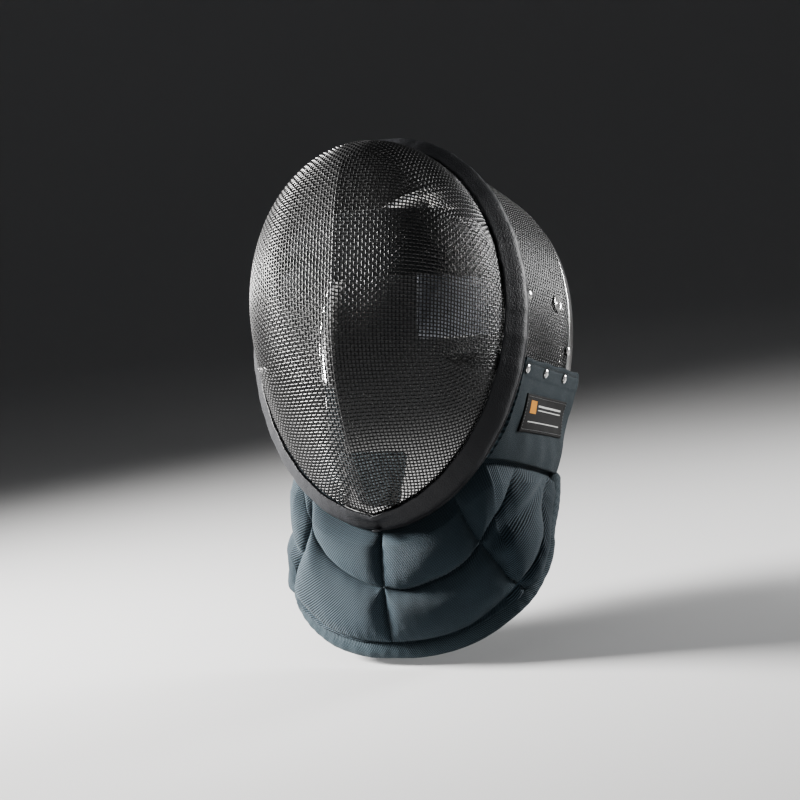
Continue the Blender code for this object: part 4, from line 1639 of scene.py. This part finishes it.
def sideBadge():
    bpy.ops.object.select_all(action="DESELECT")
    radius, wall = metal["badgeRadius"], metal["badgeWall"]
    bpy.ops.mesh.primitive_cylinder_add(vertices=64, radius=radius, depth=wall)
    disc = bpy.context.object
    disc.name = "bareBadge"
    bpy.ops.transform.resize(value=(metal["badgeNarrow"], 1.0, 1.0))
    bpy.ops.object.transform_apply(location=False, rotation=False, scale=True)
    bpy.ops.object.mode_set(mode="EDIT")
    bpy.ops.mesh.select_all(action="DESELECT")
    bpy.ops.object.mode_set(mode="OBJECT")
    for face in disc.data.polygons:
        face.select = face.normal.z > 0.9
    bpy.ops.object.mode_set(mode="EDIT")
    for thick, deep in ((0.0008, 0.0), (0.0004, -0.00025), (0.0030, 0.0), (0.0003, 0.00018)):
        bpy.ops.mesh.inset(thickness=thick, depth=deep)
    bpy.ops.object.mode_set(mode="OBJECT")
    bevel = disc.modifiers.new("edge", "BEVEL")
    bevel.width = 0.00018
    bevel.segments = 2
    bpy.ops.object.modifier_apply(modifier="edge")
    bpy.ops.object.shade_smooth_by_angle(angle=math.radians(40))
    disc.data.materials.append(looks["steel"])
    point, out = flankSpot(1, *metal["badge"])
    setDown(disc, point + out * 0.0011, out)
    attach(disc, "root")
    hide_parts("side_badge")


smallMetal()
sideBadge()
print("rivets and badge made")


# a plain pale floor and plain lights
stage = {
    "floor": -0.3455,
    "flat": 2.3,
    "bend": 1.8,
    "top": 6.0,
    "around": 96,
    "tone": 0.50,
    "world": 0.10,
    "aim": (0, -0.05, -0.15),
    # name, place, size, energy, spread in degrees, colour
    "lights": (
        ("keyLight", (-1.48, -0.34, 0.40), 0.45, 25, 70, (1.0, 0.985, 0.97)),
        ("fillLight", (1.35, -1.05, 0.35), 0.8, 0.5, 90, (0.92, 0.96, 1.0)),
        ("rimLight", (1.02, 1.05, 0.14), 0.45, 4.6, 70, (1.0, 1.0, 1.0)),
        ("topLight", (-0.3, -0.3, 1.6), 1.2, 2.2, 120, (1.0, 1.0, 1.0)),
    ),
}


def paleBowl():
    # a round floor that turns up into a wall all round
    flat, bend = stage["flat"], stage["bend"]
    line = [(0.3, 0.0), (1.2, 0.0), (flat, 0.0)]
    for turn in steps(0.0, math.pi / 2, 25)[1:]:
        line.append((flat + bend * math.sin(turn), bend * (1 - math.cos(turn))))
    line.append((flat + bend, stage["top"]))
    around = stage["around"]
    verts = [(0.0, 0.0, stage["floor"])]
    for reach, high in line:
        for n in range(around):
            turn = 2 * math.pi * n / around
            verts.append((reach * math.cos(turn), reach * math.sin(turn), stage["floor"] + high))
    faces = [(0, 1 + n, 1 + (n + 1) % around) for n in range(around)]
    faces += gridFaces(len(line), around, start=1, flip=True, wrap=True)
    mesh = bpy.data.meshes.new("floor")
    mesh.from_pydata(verts, [], faces)
    mesh.shade_smooth()
    floor = bpy.data.objects.new("floor", mesh)
    bpy.context.scene.collection.objects.link(floor)
    tone = stage["tone"]
    paint = Finish("paleFloor", Roughness=0.85, Base_Color=(tone, tone, tone, 1.0))
    mesh.materials.append(paint.material)
    return floor


def areaLight(name, where, size, energy, spread, colour):
    bpy.ops.object.select_all(action="DESELECT")
    bpy.ops.object.light_add(type="AREA", location=where)
    lamp = bpy.context.object
    lamp.name = name
    lamp.data.energy = energy
    lamp.data.size = size
    lamp.data.spread = math.radians(spread)
    lamp.data.color = colour
    lamp.rotation_euler = (Vector(where) - Vector(stage["aim"])).to_track_quat("Z", "Y").to_euler()
    return lamp


def plainStage():
    made = [paleBowl()] + [areaLight(*row) for row in stage["lights"]]
    world = bpy.data.worlds.new("room")
    world.use_nodes = True
    background = world.node_tree.nodes["Background"]
    background.inputs["Color"].default_value = (0.93, 0.95, 1.0, 1.0)
    background.inputs["Strength"].default_value = stage["world"]
    bpy.context.scene.world = world
    bpy.context.scene.view_settings.look = "AgX - Medium High Contrast"


# how the camera stood: turns in degrees, the mask's middle off the picture's, and its distance
shot = {
    "turn": 22.0,
    "lift": 8.0,
    "roll": -6.42947,
    "across": 0.01385991,
    "below": 0.05861505,
    "far": 1.3,
    "lens": 79.72,
}


def camera():
    # stands where the photo was taken from
    turn, lift, roll = (math.radians(shot[key]) for key in ("turn", "lift", "roll"))
    backward = Vector((math.sin(turn) * math.cos(lift), -math.cos(turn) * math.cos(lift), math.sin(lift)))
    right = Vector((math.cos(turn), math.sin(turn), 0.0))
    up = backward.cross(right)
    rolledRight = right * math.cos(roll) + up * math.sin(roll)
    rolledUp = up * math.cos(roll) - right * math.sin(roll)
    spot = rolledRight * shot["across"] - rolledUp * shot["below"] + backward * shot["far"]
    spot += Vector((0.0, -mask["back"], -mask["down"]))
    bpy.ops.object.select_all(action="DESELECT")
    bpy.ops.object.camera_add(location=spot)
    made = bpy.context.object
    made.name = "camera"
    made.data.sensor_width = 36.0
    made.data.lens = shot["lens"]
    axes = (*rolledRight, 0), (*rolledUp, 0), (*backward, 0), (*spot, 1)
    made.matrix_world = Matrix(axes).transposed()
    bpy.context.scene.camera = made


plainStage()
camera()

print("stage set")
